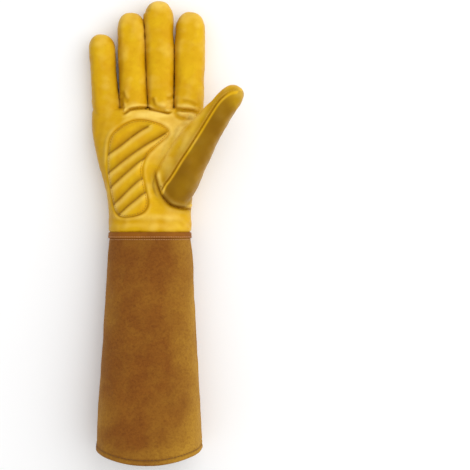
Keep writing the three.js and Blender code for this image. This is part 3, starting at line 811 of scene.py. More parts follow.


# How far each point of the skin moves out, and how dark the painted shade in its creases and seams is.
def skinMarks(points, normals):
    facing = smooth(-.1, .35, normals[:, 2]) * (points[:, 2] > 12)
    push = blobs(points, puffs) * facing
    crease = np.zeros(len(points))
    drawnMarks(points, facing, push, crease)
    patchMarks(points, facing, push, crease)
    sideSeam(points, normals, push, crease)
    rootSeam(points, normals, push, crease)
    gathers(points, normals, push, crease)
    broad, small = leather["uneven"]
    push += broad * wobble(points, 24, 1) + small * wobble(points, 9, 2)
    return push, crease


def zigzag(x):
    return 2 * np.abs(2 * ((np.asarray(x, float) / back["zigzagPitch"]) % 1) - 1) - 1


def sculptSkin(skin):
    points, normals = getPoints(skin), getNormals(skin)
    push, _ = skinMarks(points, normals)
    points += normals * push[:, None]
    points[:, 2] = np.maximum(points[:, 2], .05)
    setPoints(skin, points)


# A closed region that a piece is cut out with. Its faces carry the second material, so that they can be
# taken away again and only the skin stays.
def region(name, rings):
    o = closedBody(name, rings)
    markSlots(o)
    o.data.polygons.foreach_set("material_index", np.ones(len(o.data.polygons), int))
    o.hide_render = True
    return o


def markSlots(o):
    for name in ("skinSide", "cutSide"):
        o.data.materials.append(bpy.data.materials.get(name) or bpy.data.materials.new(name))


def slab(name, stations):
    return region(name, [[(left, y, low), (right, y, low), (right, y, high), (left, y, high)]
                         for y, left, right, low, high in stations])


def cut(o, cutter, inside):
    how = "INTERSECT" if inside else "DIFFERENCE"
    applyModifier(o, "BOOLEAN", operation=how, solver="MANIFOLD", object=cutter)


# The middle between two fingers' facing sides.
def between(k, y):
    a, b = fingers["rows"][k], fingers["rows"][k + 1]
    return (fingerX(a, y) + a.width / 2 + fingerX(b, y) - b.width / 2) / 2


def stripRegion(k):
    parts = []
    for me, side in ((k, 1), (k + 1, -1)):
        finger = fingers["rows"][me]
        end = palm["length"] + finger.length - finger.width * strips["end"]
        start = palm["length"] - strips["fold"]
        stations = []
        for share in np.linspace(0, 1, 30):
            y = mix(start, end, share)
            half = strips["width"] / 2 * float(row(strips["sections"], 1, share))
            inner = fingerX(finger, y) + side * finger.width * strips["wrap"]
            outer = between(k, y)
            middle = float(seamHeight(y))
            stations.append((y, min(inner, outer), max(inner, outer), middle - half, middle + half))
        parts.append(slab("stripHalf", stations))
    return parts


strips = {
    "width": 11.0,
    "fold": 3.4,
    "end": .42,
    "wrap": .2,
    "sections": np.array([(0, 1), (.7, 1), (.9, .75), (1, .35)]),
}


# The skin of one piece: cut out, opened, given its thickness.
def finishPiece(o, name, thickness):
    onlySelect(o)
    o.name = name
    mesh = bmesh.new()
    mesh.from_mesh(o.data)
    bmesh.ops.delete(mesh, geom=[f for f in mesh.faces if f.material_index == 1], context="FACES")
    bmesh.ops.remove_doubles(mesh, verts=mesh.verts, dist=leather["weld"])
    for island in looseIslands(mesh)[1:]:
        if len(island) < leather["crumb"]:
            bmesh.ops.delete(mesh, geom=island, context="VERTS")
    mesh.to_mesh(o.data)
    mesh.free()
    o.data.materials.clear()
    applyModifier(o, "SOLIDIFY", thickness=thickness * mm, offset=-1, use_rim=True)


def looseIslands(mesh):
    seen = set()
    islands = []
    for start in mesh.verts:
        if start in seen:
            continue
        island, edge = [], [start]
        seen.add(start)
        while edge:
            v = edge.pop()
            island.append(v)
            for e in v.link_edges:
                other = e.other_vert(v)
                if other not in seen:
                    seen.add(other)
                    edge.append(other)
        islands.append(island)
    return sorted(islands, key=len, reverse=True)

# How far the regions that pieces are cut out with reach past the glove.
room = {"side": 130, "below": -20, "above": 150, "ahead": 125, "finger": 120}


def cutPieces(skin):
    markSlots(skin)
    length = palm["length"]
    far = length + room["ahead"]
    wide, below, above = room["side"], room["below"], room["above"]
    ys = np.concatenate([[-14], np.linspace(-9, far, 60)])
    upper = slab("upper", [(y, -wide, wide, float(seamHeight(y)), above) for y in ys])
    lower = slab("lower", [(y, -wide, wide, below, float(seamHeight(y))) for y in ys])
    grown = region("grownThumb", thumbRings(thumb["grown"]))
    root = np.array(marks["root"]["line"])[-2:0:-1]
    stations = []
    for y in np.linspace(root[0, 1], root[-1, 1], 40):
        stations.append((y, np.interp(y, root[:, 1], root[:, 0]), wide, below, above))
    stations += [(y, -30, wide, below, above) for y in (root[-1, 1] + .5, far)]
    rootRoom = slab("rootRoom", stations)
    cut(grown, rootRoom, True)
    drop(rootRoom)
    mouth = slab("mouth", [(y, -wide, wide, below, above) for y in (-8.5, far)])

    thumbSkin = copyOf(skin, "thumb_panel")
    cut(thumbSkin, grown, True)
    hand = copyOf(skin, "hand")
    cut(hand, mouth, True)
    cut(hand, grown, False)
    front, rear = copyOf(hand, "palm_panel"), copyOf(hand, "back_panel")
    cut(front, upper, True)
    cut(rear, lower, True)
    made = {"thumb_panel": thumbSkin, "palm_panel": front, "back_panel": rear}
    for k, (a, b) in enumerate(zip(fingers["rows"], fingers["rows"][1:])):
        halves = []
        for half in stripRegion(k):
            piece = copyOf(hand, "strip")
            cut(piece, half, True)
            halves.append(piece)
            cut(front, half, False)
            cut(rear, half, False)
            drop(half)
        made["fourchette_" + a.name + "_" + b.name] = joinAll("strip", halves)

    arch = throughPoints(marks["arch"]["line"], 40)
    for k, name in ((1, "ring_finger_front"), (2, "middle_finger_front")):
        x = np.linspace(between(k - 1, length), between(k, length), 24)
        foot = np.interp(x, arch[:, 0], arch[:, 1])
        lean = mix(fingers["rows"][k - 1].lean, fingers["rows"][k + 1].lean, .5)
        ends = x + np.tan(np.radians(lean)) * room["finger"]
        rings = []
        for a, b, y in zip(x, ends, foot):
            rings.append([(a, y, below), (b, far, below), (b, far, above), (a, y, above)])
        tool = region("frontRoom", rings)
        piece = copyOf(front, name)
        cut(piece, tool, True)
        cut(front, tool, False)
        drop(tool)
        made[name] = piece
    drop(upper, lower, grown, mouth, hand)
    for name, piece in made.items():
        finishPiece(piece, name, leather["hand"])
    return made


patch = {
    "flange": .55,      # height of the sewn edge over the palm
    "loft": 3.6,        # height of the channels over it
    "edge": 6.0,        # from the outline to full height
    "channel": 7.0,     # from a quilting line to full height
    "dent": .35,        # under the stitches
    "over": .12,        # the sewn edge's underside and the patch's own over the palm
    "under": .08,
    "thin": .15,
    "step": .75,
    "columns": 84,
    "upright": np.array([.64, .77]),    # the rings follow each other this way
    "flat": np.array([.77, -.64]),
}


# The point of a piece under a place seen from above.
def pointUnder(tree, x, y):
    hit = tree.ray_cast(Vector(toFrame((x, y, 95))), Vector((0, 0, -1)))[0]
    return None if hit is None else fromFrame(hit)


# The patch: a thin quilted cushion that follows the palm's skin.
def makePatch(skin):
    tree = BVHTree.FromObject(skin, bpy.context.evaluated_depsgraph_get())
    outline = throughPoints(patchOutline, 220)
    along = outline @ patch["upright"]
    even = np.linspace(0, 1, patch["columns"])
    share = mix((1 - np.cos(even * math.pi)) / 2, even, .6)
    rings = []
    for s in np.linspace(along.min() + .3, along.max() - .3, int(np.ptp(along) / patch["step"])):
        crossings = []
        for i in range(len(outline) - 1):
            a, b = along[i], along[i + 1]
            if (a - s) * (b - s) <= 0 and a != b:
                crossings.append(mix(outline[i], outline[i + 1], (s - a) / (b - a)) @ patch["flat"])
        across = mix(min(crossings), max(crossings), share)
        rings.append(np.outer(across, patch["flat"]) + s * patch["upright"])
    shape = np.array(rings).shape[:2]
    spots = np.array(rings).reshape(-1, 2)
    edge, _, _ = nearLine(spots, outline)
    quilt = np.min([nearLine(spots, throughPoints(line, 40))[0] for line in quilting], axis=0)
    dome = np.sqrt(smooth(0, patch["edge"], edge))
    channel = np.sin(np.clip(quilt / patch["channel"], 0, 1) * math.pi / 2) ** .8
    lift = patch["flange"] * smooth(-.2, .5, edge) + patch["loft"] * dome * (.12 + .88 * channel)
    lift -= patch["dent"] * bell(edge - 1.5, .6)
    base = np.zeros(len(spots))
    for i, (x, y) in enumerate(spots):
        found = pointUnder(tree, x, y)
        base[i] = palmTop(x, y) if found is None else found[2]
    base = smoothGrid(base.reshape(shape), 6).ravel()
    top = np.column_stack([spots, base + patch["over"] + np.maximum(lift, patch["thin"])]).reshape(*shape, 3)
    under = np.column_stack([spots, base + patch["under"]]).reshape(*shape, 3)
    return closedBody("palm_pad", np.concatenate([top, under[:, ::-1]], 1))


def smoothGrid(values, times):
    for _ in range(times):
        padded = np.pad(values, 1, mode="edge")
        sides = padded[:-2, 1:-1] + padded[2:, 1:-1] + padded[1:-1, :-2] + padded[1:-1, 2:]
        values = (sides + 4 * values) / 8
    return values


cuff = {
    "length": 213.0,
    "hemDrop": 9.5,
    "corner": 2.3,          # the hem's corners at the sides are rounded up by this much
    "cornerFrom": .92,      # where that begins, in shares of half the width
    "hemWidth": 102.4,
    "flare": .7,            # the suede widens by this much where it leaves the band
    "hemHeight": 78.0,
    "hemFold": 8.0,
    "hemSink": -.04,
    "hemSeam": 5.2,         # the hem's stitching, from the edge
    "turn": 1.8,            # the leather turns in over this last bit
    "settle": 3.0,
    "roundness": 2.15,
    "step": 1.5,            # the suede lies this far under the band
    "rows": 150,
    "columns": 236,
    "slit": .012,           # half the opening of the side seam, in radians
    "waves": .4,            # unevenness, broad and small
    "ripples": .22,
    "hemRoll": (.15, 2.6, 1.6),     # lips: height, place, width
    "sideLip": (.3, 1.4, .8),
    "hemDip": (.45, .9),            # grooves: depth, width
    "foldDip": (.45, 1.2),
    "sideDip": (.6, .9),
    "sideSeam": 3.0,                # the side's stitching line, from the side seam
    "flat": (.292, .231),   # the cut in metres: a fan, 292 mm wide at the hem, with its turned edge
    "area": .0545,
}

band = {"top": -.2, "width": 6.0, "round": .55, "gap": .1}


def cuffHeights(share):
    wrist = palmAt(palm["start"])
    sink = cuff["hemSink"] * cuff["hemHeight"]
    low = mix(wrist["low"] + cuff["step"], sink, np.minimum(1, cuff["settle"] * share))
    return low, mix(wrist["high"] - cuff["step"], cuff["hemHeight"], share)


def cuffHalf(share):
    return mix(palm["wristWidth"] / 2 - cuff["step"], cuff["hemWidth"] / 2, share)


# How far the hem hangs below its corners, from the middle (out = 0) to the sides, where it rounds up.
def hemDrop(out):
    past = .98 * np.clip((out - cuff["cornerFrom"]) / (1 - cuff["cornerFrom"]), 0, 1)
    return cuff["hemDrop"] * (1 - out ** 2) - cuff["corner"] * (1 - np.sqrt(1 - past ** 2))


# Points of the cuff's outside at a share of its length, moved in by inset.
def cuffPoints(share, angle, inset):
    low, high = cuffHeights(share)
    half = cuffHalf(share) + cuff["flare"] * smooth(.025, .07, share)
    c, s = np.cos(angle), np.sin(angle)
    e = 2 / cuff["roundness"]
    x = (half - inset) * np.sign(c) * np.abs(c) ** e
    z = (low + high) / 2 + ((high - low) / 2 - inset) * np.sign(s) * np.abs(s) ** e
    y = -share * (cuff["length"] + hemDrop(np.abs(x / (half - inset))))
    return np.stack([x, np.broadcast_to(y, x.shape), np.maximum(z, inset + .05)], -1)


# Distance from the hem's edge, up along the cuff.
def hemDistance(points):
    x, y = points[:, 0], points[:, 1]
    half = cuffHalf(np.clip(-y / cuff["length"], 0, 1))
    return cuff["length"] + hemDrop(np.abs(np.clip(x / half, -1, 1))) + y


def makeCuff():
    angle = np.linspace(cuff["slit"], 2 * math.pi - cuff["slit"], cuff["columns"])
    turned = 1 - cuff["turn"] / cuff["length"]
    radius = leather["cuff"] * 1.04
    rows = [cuffPoints(share, angle, 0) for share in np.linspace(.004, turned, cuff["rows"])]
    for turn in np.linspace(0, math.pi, 9)[1:]:
        share = turned + radius * math.sin(turn) / cuff["length"]
        rows.append(cuffPoints(share, angle, radius * (1 - math.cos(turn))))
    for share in np.linspace(turned, 1 - cuff["hemFold"] / cuff["length"], 7)[1:]:
        rows.append(cuffPoints(share, angle, 2 * radius))
    o = layGrid("cuff_panel", rows, sew=False)

    points = getPoints(o)
    x, y, z = points.T
    low, high = cuffHeights(np.clip(-y / cuff["length"], 0, 1))
    middle = (low + high) / 2
    out = np.stack([x, np.zeros_like(x), z - middle], 1)
    out /= np.linalg.norm(out, axis=1)[:, None]
    fromHem = hemDistance(points)
    push = cuff["waves"] * wobble(points * (1, .6, 1), 70, 11) * smooth(-2, -40, y)
    push += cuff["ripples"] * wobble(points, 17, 12) * smooth(-4, -16, y)
    push += ridge(fromHem, cuff["hemRoll"]) - dip(fromHem - cuff["hemSeam"], cuff["hemDip"])
    push -= dip(fromHem - cuff["hemFold"] - .8, cuff["foldDip"])
    side = np.abs(z - middle)
    push += (x > 0) * (ridge(side, cuff["sideLip"]) - dip(side - cuff["sideSeam"], cuff["sideDip"]))
    points += out * push[:, None]
    points[:, 2] = np.maximum(points[:, 2], .05)
    setPoints(o, points)
    if (getNormals(o) * out).sum() < 0:
        onlySelect(o)
        bpy.ops.object.mode_set(mode="EDIT")
        bpy.ops.mesh.select_all(action="SELECT")
        bpy.ops.mesh.flip_normals()
        bpy.ops.object.mode_set(mode="OBJECT")
    applyModifier(o, "SOLIDIFY", thickness=leather["cuff"] * mm, offset=-1, use_rim=True)
    return o


# A turned band of smooth leather over the cuff's upper edge.
def makeBand():
    angle = np.linspace(0, 2 * math.pi, 181)
    r = band["round"]
    outer = band["gap"] + leather["band"]
    top, low = band["top"], band["top"] - band["width"]
    profile = []
    for turn in np.linspace(0, 90, 6):
        a = math.radians(turn)
        profile.append((top - r + r * math.cos(a), outer - r + r * math.sin(a)))
    for y in np.linspace(top - r, low + r, 12)[1:-1]:
        swell = .18 * math.sin(math.pi * (y - low) / band["width"])
        profile.append((y, outer + swell))
    for turn in np.linspace(0, 90, 6):
        a = math.radians(turn)
        profile.append((low + r - r * math.sin(a), outer - r + r * math.cos(a)))
    profile.append((low, band["gap"]))
    profile.append((top, band["gap"]))
    profile.append(profile[0])
    rows = []
    for y, out in profile:
        ring = cuffPoints(max(-y, 0) / cuff["length"], angle, -out)
        ring[:, 1] = y
        rows.append(ring)
    return layGrid("wrist_binding", rows)


thread = {
    "sink": .12,        # how deep a stitch lies in the leather
    # of each row: pitch, length, thickness
    "patch": (2.7, 1.9, .42),
    "quilting": (2.7, 1.9, .4),
    "seam": (2.7, 1.9, .38),
    "binding": (2.4, 1.9, .5),
    "hem": (3.2, 2.4, .5),
    "elastic": (2.3, 1.8, .5),
    # how far beside its line a row runs, and the two rows along the band
    "offset": {"patch": -1.5, "arch": 1.9, "crest": 1.5},
    "bindingRows": (-4.9, -7.3),
    # colours
    "yellow": ((226, 176, 62), (176, 122, 26)),
    "tan": ((224, 172, 122), (176, 118, 72)),
    "olive": ((170, 122, 26), (128, 84, 14)),
    "brown": ((120, 70, 22), (80, 42, 10)),
}


# Stitches in a row along a line on a piece: where each begins and ends, its way up and its thickness.
def stitchRow(tree, line, kind):
    pitch, length, thick = thread[kind]
    line = np.asarray(line, float)
    reach = lengthAlong(line)
    count = max(int(reach[-1] / pitch), 1)
    stitches = []
    for i in range(count):
        middle = (i + .5) * reach[-1] / count
        ends = []
        for at in (middle - length / 2, middle + length / 2):
            spot = [np.interp(at, reach, line[:, k]) for k in range(3)]
            found = tree.find_nearest(Vector(toFrame(spot)))
            ends.append((fromFrame(found[0]), np.array(found[1])))
        (a, upA), (b, upB) = ends
        stitches.append((a, b, upA + upB, thick))
    return stitches


# Points and faces of one stitch: along its length, and across in shares of its thickness.
def capsuleShape(sides=6):
    profile = ((-.5, .35), (-.42, .8), (-.2, 1), (.2, 1), (.42, .8), (.5, .35))
    points, faces = [], []
    for r, (along, wide) in enumerate(profile):
        for i in range(sides):
            a = i / sides * 2 * math.pi
            points.append((along, wide * math.cos(a), wide * math.sin(a)))
            j = (i + 1) % sides
            if r < len(profile) - 1:
                faces.append((r * sides + i, r * sides + j, (r + 1) * sides + j, (r + 1) * sides + i))
    faces.append(tuple(range(sides - 1, -1, -1)))
    faces.append(tuple(range(len(points) - sides, len(points))))
    return points, faces


def makeStitches(name, stitches, look):
    shape, shapeFaces = capsuleShape()
    points, faces = [], []
    for a, b, up, thick in stitches:
        size = np.linalg.norm(b - a)
        if size < .2:
            continue
        way = (b - a) / size
        up = up - way * (up @ way)
        up /= np.linalg.norm(up) + 1e-9
        across = np.cross(up, way)
        middle = (a + b) / 2 + up * (thick / 2 - thread["sink"])
        start = len(points)
        for along, w, h in shape:
            points.append(middle + way * along * size + across * w * thick / 2 + up * h * thick / 2)
        faces += [tuple(start + i for i in face) for face in shapeFaces]
    mesh = bpy.data.meshes.new(name)
    mesh.from_pydata([tuple(p) for p in toFrame(points)], [], faces)
    mesh.update()
    o = bpy.data.objects.new(name, mesh)
    bpy.context.scene.collection.objects.link(o)
    dress(o, name, made=look, angle=60)
    return o


# A line seen from above, dropped on a piece.
def dropped(tree, line):
    found = [pointUnder(tree, x, y) for x, y in line]
    return [point for point in found if point is not None]


def beside(line, offset):
    way = np.gradient(line, axis=0)
    way /= np.linalg.norm(way, axis=1)[:, None]
    return line + np.stack([-way[:, 1], way[:, 0]], 1) * offset


# Sets a node's inputs, from a value or from another node's output, and its other settings.
def fill(tree, made, **values):
    for key, value in values.items():
        if key not in made.inputs:
            setattr(made, key, value)
        elif isinstance(value, bpy.types.NodeSocket):
            tree.links.new(value, made.inputs[key])
        else:
            made.inputs[key].default_value = value


def node(tree, kind, spot=(0, 0), **values):
    made = tree.nodes.new(kind)
    made.location = spot
    fill(tree, made, **values)
    return made


def noise(tree, place, spot, scale, detail, roughness, distortion=0.0):
    made = node(tree, "ShaderNodeTexNoise", spot, Vector=place, Scale=scale, Detail=detail,
                Roughness=roughness, Distortion=distortion)
    return made.outputs["Fac"]


def spread(tree, value, spot, low, high, start=0.0, end=1.0):
    limits = {"From Min": low, "From Max": high, "To Min": start, "To Max": end}
    return node(tree, "ShaderNodeMapRange", spot, Value=value, **limits).outputs["Result"]


# value * much + other
def added(tree, value, much, other, spot, clamped=False):
    made = node(tree, "ShaderNodeMath", spot, operation="MULTIPLY_ADD", use_clamp=clamped)
    made.inputs[1].default_value = much
    tree.links.new(value, made.inputs[0])
    tree.links.new(other, made.inputs[2])
    return made.outputs[0]


def attribute(tree, name, spot):
    return node(tree, "ShaderNodeAttribute", spot, attribute_name=name).outputs["Fac"]


def bumped(tree, height, strength, distance):
    made = node(tree, "ShaderNodeBump", (300, -300), Strength=strength, Distance=distance, Height=height)
    return made.outputs["Normal"]


# Lays a colour over another one by a factor.
def layer(tree, under, factor, over, spot, blend="MIX"):
    made = node(tree, "ShaderNodeMix", spot, data_type="RGBA", blend_type=blend)
    tree.links.new(factor, made.inputs[0])
    if isinstance(under, tuple):
        made.inputs[6].default_value = colour(*under)
    else:
        tree.links.new(under, made.inputs[6])
    made.inputs[7].default_value = colour(*over)
    return made.outputs[2]


# Grain of smooth leather: Tone and Wear vary the colour, Height is for the bump.
def grainGroup():
    group = bpy.data.node_groups.new("leatherGrain", "ShaderNodeTree")
    face = group.interface
    face.new_socket("Vector", in_out="INPUT", socket_type="NodeSocketVector")
    for name, value in (("Mottle Size", 55), ("Cell Size", 950)):
        face.new_socket(name, in_out="INPUT", socket_type="NodeSocketFloat").default_value = value
    for name in ("Tone", "Wear", "Height"):
        face.new_socket(name, in_out="OUTPUT", socket_type="NodeSocketFloat")
    start = node(group, "NodeGroupInput", (-900, 0)).outputs
    place = start["Vector"]
    broad = noise(group, place, (-500, 300), start["Mottle Size"], 4.0, .55, .6)
    finer = noise(group, place, (-500, 50), 240.0, 6.0, .65, .3)
    pores = noise(group, place, (-500, -500), 1900.0, 3.0, .6)
    cells = node(group, "ShaderNodeTexVoronoi", (-500, -250), feature="DISTANCE_TO_EDGE",
                 Vector=place, Scale=start["Cell Size"])
    rim = spread(group, cells.outputs["Distance"], (-200, -250), 0, .22)
    both = added(group, rim, .45, finer, (60, -250))
    tone = spread(group, broad, (-200, 300), .33, .67)
    height = added(group, pores, .25, both, (260, -250))
    node(group, "NodeGroupOutput", (700, 0), Tone=tone, Wear=finer, Height=height)
    return group


def colour(r, g, b):
    def linear(v):
        v /= 255
        return v / 12.92 if v <= .04045 else ((v + .055) / 1.055) ** 2.4
    return (linear(r), linear(g), linear(b), 1)


def material(name):
    made = bpy.data.materials.new(name)
    made.use_nodes = True
    made.node_tree.nodes.clear()
    out = node(made.node_tree, "ShaderNodeOutputMaterial", (900, 0))
    shader = node(made.node_tree, "ShaderNodeBsdfPrincipled", (600, 0))
    tree = made.node_tree
    tree.links.new(shader.outputs[0], out.inputs["Surface"])
    return made, tree, shader


tones = {
    "hand": {
        "deep": (208, 155, 8), "main": (219, 173, 16), "light": (250, 217, 112), "speck": (216, 182, 120),
        "shade": (118, 77, 0), "crease": (118, 64, 2),
        "roughness": .45, "cell": 950.0, "bump": .2, "sheen": .08,
    },
    "band": {
        "deep": (118, 62, 18), "main": (146, 86, 20), "light": (165, 110, 50), "speck": (150, 110, 80),
        "shade": (110, 60, 16), "crease": (70, 32, 8),
        "roughness": .6, "cell": 1200.0, "bump": .25, "sheen": .1,
    },
    "shine": (255, 214, 120),
    "suede": {
        "deep": (124, 70, 16), "main": (138, 84, 21), "gold": (174, 128, 38), "speck": (176, 140, 100),
        "crease": (84, 46, 12), "sheen": (214, 176, 110),
    },
}


def grainLeather(name, group, look):
    made, tree, shader = material(name)
    place = node(tree, "ShaderNodeTexCoord", (-1100, 0)).outputs["Object"]
    size = {"Cell Size": look["cell"]}
    grain = node(tree, "ShaderNodeGroup", (-850, 0), node_tree=group, Vector=place, **size).outputs
    worn = spread(tree, grain["Wear"], (-550, -120), .5, .75, 0, .2)
    base = layer(tree, look["deep"], grain["Tone"], look["main"], (-550, 200))
    # Painted light: the crest attribute lays on a painted highlight, the last two attributes lay on painted
    # shade.
    base = layer(tree, base, attribute(tree, "crest", (-850, -500)), look["light"], (-330, 200))
    base = layer(tree, base, worn, look["speck"], (-110, 200), "MULTIPLY")
    base = layer(tree, base, attribute(tree, "shade", (-850, -700)), look["shade"], (60, 400))
    base = layer(tree, base, attribute(tree, "crease", (-850, -300)), look["crease"], (260, 200))
    rough = look["roughness"]
    shine = colour(*tones["shine"])
    fill(tree, shader, **{
        "Base Color": base,
        "Roughness": spread(tree, grain["Wear"], (110, -100), 0, 1, rough - .08, rough + .12),
        "Normal": bumped(tree, grain["Height"], look["bump"], .0004),
        "Sheen Weight": look["sheen"], "Sheen Roughness": .45, "Sheen Tint": shine,
        "Specular IOR Level": .45, "Specular Tint": shine,
    })
    return made


def suede(name, look):
    made, tree, shader = material(name)
    place = node(tree, "ShaderNodeTexCoord", (-1300, 0)).outputs["Object"]
    broad = noise(tree, place, (-1000, 300), 26.0, 5.0, .55, .8)
    patchy = noise(tree, place, (-1000, 50), 60.0, 5.0, .55, .4)
    fine = noise(tree, place, (-1000, -200), 1500.0, 6.0, .75)
    tufts = noise(tree, place, (-1000, -450), 420.0, 4.0, .7, .8)
    golden = attribute(tree, "golden", (-1000, 550))
    # The gold mixes the suede's own patches with painted light towards the right side.
    goldAndLightMix = added(tree, spread(tree, patchy, (-750, 50), .45, .68), .17, golden, (-500, 60), True)
    nap = spread(tree, tufts, (-500, -200), .42, .7, 0, .5)
    base = layer(tree, look["deep"], spread(tree, broad, (-750, 300), .3, .7), look["main"], (-500, 300))
    base = layer(tree, base, goldAndLightMix, look["gold"], (-280, 300))
    base = layer(tree, base, nap, look["speck"], (-60, 300), "MULTIPLY")
    base = layer(tree, base, attribute(tree, "crease", (-500, -420)), look["crease"], (160, 300))
    height = added(tree, fine, .6, tufts, (-280, -300))
    fill(tree, shader, **{
        "Base Color": base, "Roughness": .93, "Normal": bumped(tree, height, .55, .0006),
        "Sheen Weight": .35, "Sheen Roughness": .5, "Sheen Tint": colour(*look["sheen"]),
        "Specular IOR Level": .2,
    })
    return made


def threadMaterial(name, main, deep):
    made, tree, shader = material(name)
    place = node(tree, "ShaderNodeTexCoord", (-700, 0)).outputs["Object"]
    strands = noise(tree, place, (-450, 0), 1400.0, 3.0, .6)
    fill(tree, shader, **{
        "Base Color": layer(tree, deep, strands, main, (-150, 0)), "Roughness": .7,
        "Normal": bumped(tree, strands, .4, .0003),
    })
    return made


def setAttributes(o, **columns):
    for name, values in columns.items():
        made = o.data.attributes.new(name, "FLOAT", "POINT")
        made.data.foreach_set("value", np.ascontiguousarray(values, dtype=np.float32))


def camel(name):
    first, *others = name.split("_")
    return first + "".join(part.title() for part in others)


def dress(o, name, *nodes, slot=None, made=None, angle=50):
    o.name = camel(name)
    o.data.name = camel(name)
    o.data.materials.clear()
    o.data.materials.append(made)
    onlySelect(o)
    bpy.ops.object.shade_smooth_by_angle(angle=math.radians(angle))
    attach(o, "root")
    if nodes:
        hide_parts(*nodes)


def dressHand(pieces, look):
    for name, o in pieces.items():
        points, normals = getPoints(o), getNormals(o)
        push, crease = skinMarks(points, normals)
        pale, shade = paintedLightAndShade(points, normals)
        # crest: painted highlight on raised places and painted light; shade and the creases: painted shade.
        crest = np.clip(push / 2.6 + pale, 0, .8)
        setAttributes(o, crease=np.clip(crease, 0, 1) * .8, crest=crest, shade=shade)
        dress(o, name, name, slot="grain_leather", made=look)


def dressPatch(pad, look):
    spots = getPoints(pad)[:, :2]
    edge, _, _ = nearLine(spots, throughPoints(patchOutline, 150))
    dark, pale, shade = np.zeros((3, len(spots)))
    # Painted shade in each quilting line and above it, painted light below it.
    for line in quilting:
        distance, side, _ = nearLine(spots, throughPoints(line, 40))
        dark = np.maximum(dark, .5 * bell(distance, 1.1))
        shade = np.maximum(shade, .5 * bell(distance, 4.2) * (side > 0))
        pale = np.maximum(pale, .4 * bell(distance - 3, 2.4) * (side < 0))
    # Painted shade along the patch's edge, darker towards the heel.
    dark += (.1 + .3 * smooth(50, 22, spots[:, 1])) * bell(edge, .7)
    setAttributes(pad, crease=np.clip(dark, 0, .85), crest=np.clip(pale, 0, .6), shade=shade)
    dress(pad, "palm_pad", "palm_pad", slot="grain_leather", made=look)

# Where the suede is golden: its own patches and the hem, and painted light towards the right side.
cuffGoldAndLight = {
    "right": .78,       # painted light towards the right side
    "left": .14,        # a little at the left, near the hem
    "uneven": .2,
    "low": .25,         # patches in the lower part
    "edge": .2,         # below the hem's stitching
    "fold": .3,         # just above it
    "less": .1,
}


def dressCuff(sleeve, look):
    points = getPoints(sleeve)
    fromHem = hemDistance(points)
    right = points[:, 0] / (cuff["hemWidth"] / 2)
    golden = cuffGoldAndLight["right"] * smooth(.2, .95, right) + cuffGoldAndLight["uneven"] * wobble(points, 45, 22)
    golden += cuffGoldAndLight["left"] * smooth(.3, .9, -right) * smooth(110, 50, fromHem)
    golden += cuffGoldAndLight["low"] * smooth(60, 8, fromHem) * smooth(-.2, .6, wobble(points, 60, 21) + .4)
    golden += cuffGoldAndLight["edge"] * smooth(cuff["hemSeam"] + .3, cuff["hemSeam"] - 1, fromHem)
    golden += cuffGoldAndLight["fold"] * bell(fromHem - 10, 7) - cuffGoldAndLight["less"]
    # Painted shade in the hem's stitching groove, at the hem's edge and down the left side, away from the
    # key.
    dark = .5 * bell(fromHem - cuff["hemSeam"], .8) + .2 * bell(fromHem, .8) + .2 * smooth(.9, 1, -right)
    setAttributes(sleeve, golden=np.clip(golden, 0, 1), crease=np.clip(dark, 0, .85))
    dress(sleeve, "cuff_panel", "cuff_panel", slot="cuff_suede", made=look, angle=40)


def sewAll(skin, pad, sleeve, ring, threads):
    depsgraph = bpy.context.evaluated_depsgraph_get()
    skinTree, padTree, cuffTree, bandTree = [
        BVHTree.FromObject(o, depsgraph) for o in (skin, pad, sleeve, ring)]
    line = beside(throughPoints(patchOutline, 300), thread["offset"]["patch"])
    rows = stitchRow(padTree, dropped(padTree, line), "patch")
    for line in quilting:
        rows += stitchRow(padTree, dropped(padTree, throughPoints(line, 60)), "quilting")
    makeStitches("palm_pad_stitches", rows, threads["olive"])

    rows = []
    for name in ("arch", "crest"):
        line = beside(throughPoints(marks[name]["line"], 90), thread["offset"][name])
        rows += stitchRow(skinTree, dropped(skinTree, line), "seam")
    makeStitches("seam_stitches", rows, threads["yellow"])

    angle = np.linspace(0, 2 * math.pi, 400)
    rows = []
    for tree, low in zip((bandTree, cuffTree), thread["bindingRows"]):
        line = cuffPoints(-low / cuff["length"], angle, -1.5)
        line[:, 1] = low
        rows += stitchRow(tree, line, "binding")
    makeStitches("binding_stitches", rows, threads["tan"])

    line = cuffPoints(1 - cuff["hemSeam"] / cuff["length"], angle[4:-4], 0)
    hemRows = makeStitches("hem_stitches", stitchRow(cuffTree, line, "hem"), threads["brown"])

    x = np.linspace(-back["width"], back["width"], 260) * palm["wristWidth"] / 2
    line = np.stack([x, back["shirring"] + back["zigzag"] * zigzag(x), np.full_like(x, -6)], 1)
    makeStitches("elastic_stitches", stitchRow(skinTree, line, "elastic"), threads["yellow"])


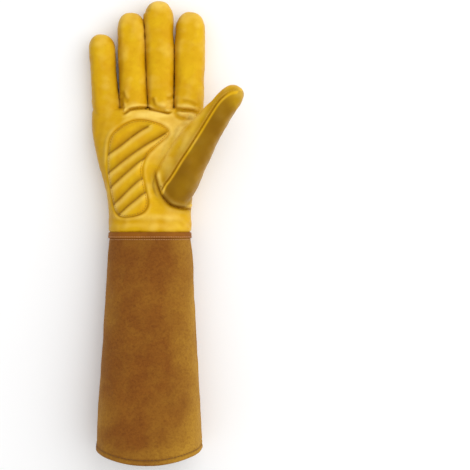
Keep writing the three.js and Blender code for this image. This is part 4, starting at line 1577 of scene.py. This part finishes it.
def main():
    skin = makeSkin()
    closeFingers(skin)
    sculptSkin(skin)
    print("skin", len(skin.data.polygons))
    pieces = cutPieces(skin)
    print("pieces", {name: len(o.data.polygons) for name, o in pieces.items()})

    grain = grainGroup()
    handLeather = grainLeather("handLeather", grain, tones["hand"])
    bandLeather = grainLeather("bandLeather", grain, tones["band"])
    cuffSuede = suede("cuffSuede", tones["suede"])
    threads = {}
    for name in ("yellow", "tan", "olive", "brown"):
        threads[name] = threadMaterial(name + "Thread", *thread[name])

    dressHand(pieces, handLeather)
    pad = makePatch(skin)
    dressPatch(pad, handLeather)
    print("pad", len(pad.data.polygons))
    sleeve = makeCuff()
    dressCuff(sleeve, cuffSuede)
    print("cuff", len(sleeve.data.polygons))
    ring = makeBand()
    plain = np.zeros(len(ring.data.vertices))
    setAttributes(ring, crease=plain, crest=plain, shade=plain)
    dress(ring, "wrist_binding", "wrist_binding", slot="binding_leather", made=bandLeather, angle=60)
    print("band", len(ring.data.polygons))
    sewAll(skin, pad, sleeve, ring, threads)
    print("stitches sewn")
    drop(skin)


main()

studio = {
    "floor": .97,
    "floorSize": 6,
    "floorHeight": -.0003,
    "sky": .78,
    "key": 18.6,
    "keyPlace": (.95, .5, 1.35),
    "keySize": 2.4,
    "cameraHeight": 1.5,
    "lookAt": (83.6, -3),
    "frameWidth": .47,
}
bpy.ops.mesh.primitive_plane_add(size=studio["floorSize"], location=(0, 0, studio["floorHeight"]))
floor = bpy.context.object
floor.name = "floor"
white, tree, shader = material("floorWhite")
fill(tree, shader, **{"Base Color": (*[studio["floor"]] * 3, 1), "Roughness": .9, "Specular IOR Level": .1})
floor.data.materials.append(white)
world = bpy.data.worlds.new("studio")
world.use_nodes = True
world.node_tree.nodes["Background"].inputs[0].default_value = (1, 1, 1, 1)
world.node_tree.nodes["Background"].inputs[1].default_value = studio["sky"]
bpy.context.scene.world = world
bpy.ops.object.light_add(type="AREA", location=studio["keyPlace"])
key = bpy.context.object
key.name = "key"
key.data.shape = "DISK"
key.data.size = studio["keySize"]
key.data.energy = studio["key"]
key.rotation_mode = "QUATERNION"
key.rotation_quaternion = Vector(studio["keyPlace"]).to_track_quat("Z", "Y")

spot = toFrame((*studio["lookAt"], 0))
bpy.ops.object.camera_add(location=(spot[0], spot[1], studio["cameraHeight"]), rotation=(0, 0, 0))
camera = bpy.context.object
camera.data.lens = camera.data.sensor_width * studio["cameraHeight"] / studio["frameWidth"]
camera.data.clip_start, camera.data.clip_end = .05, 20
bpy.context.scene.camera = camera
bpy.context.scene.view_settings.view_transform = "Standard"
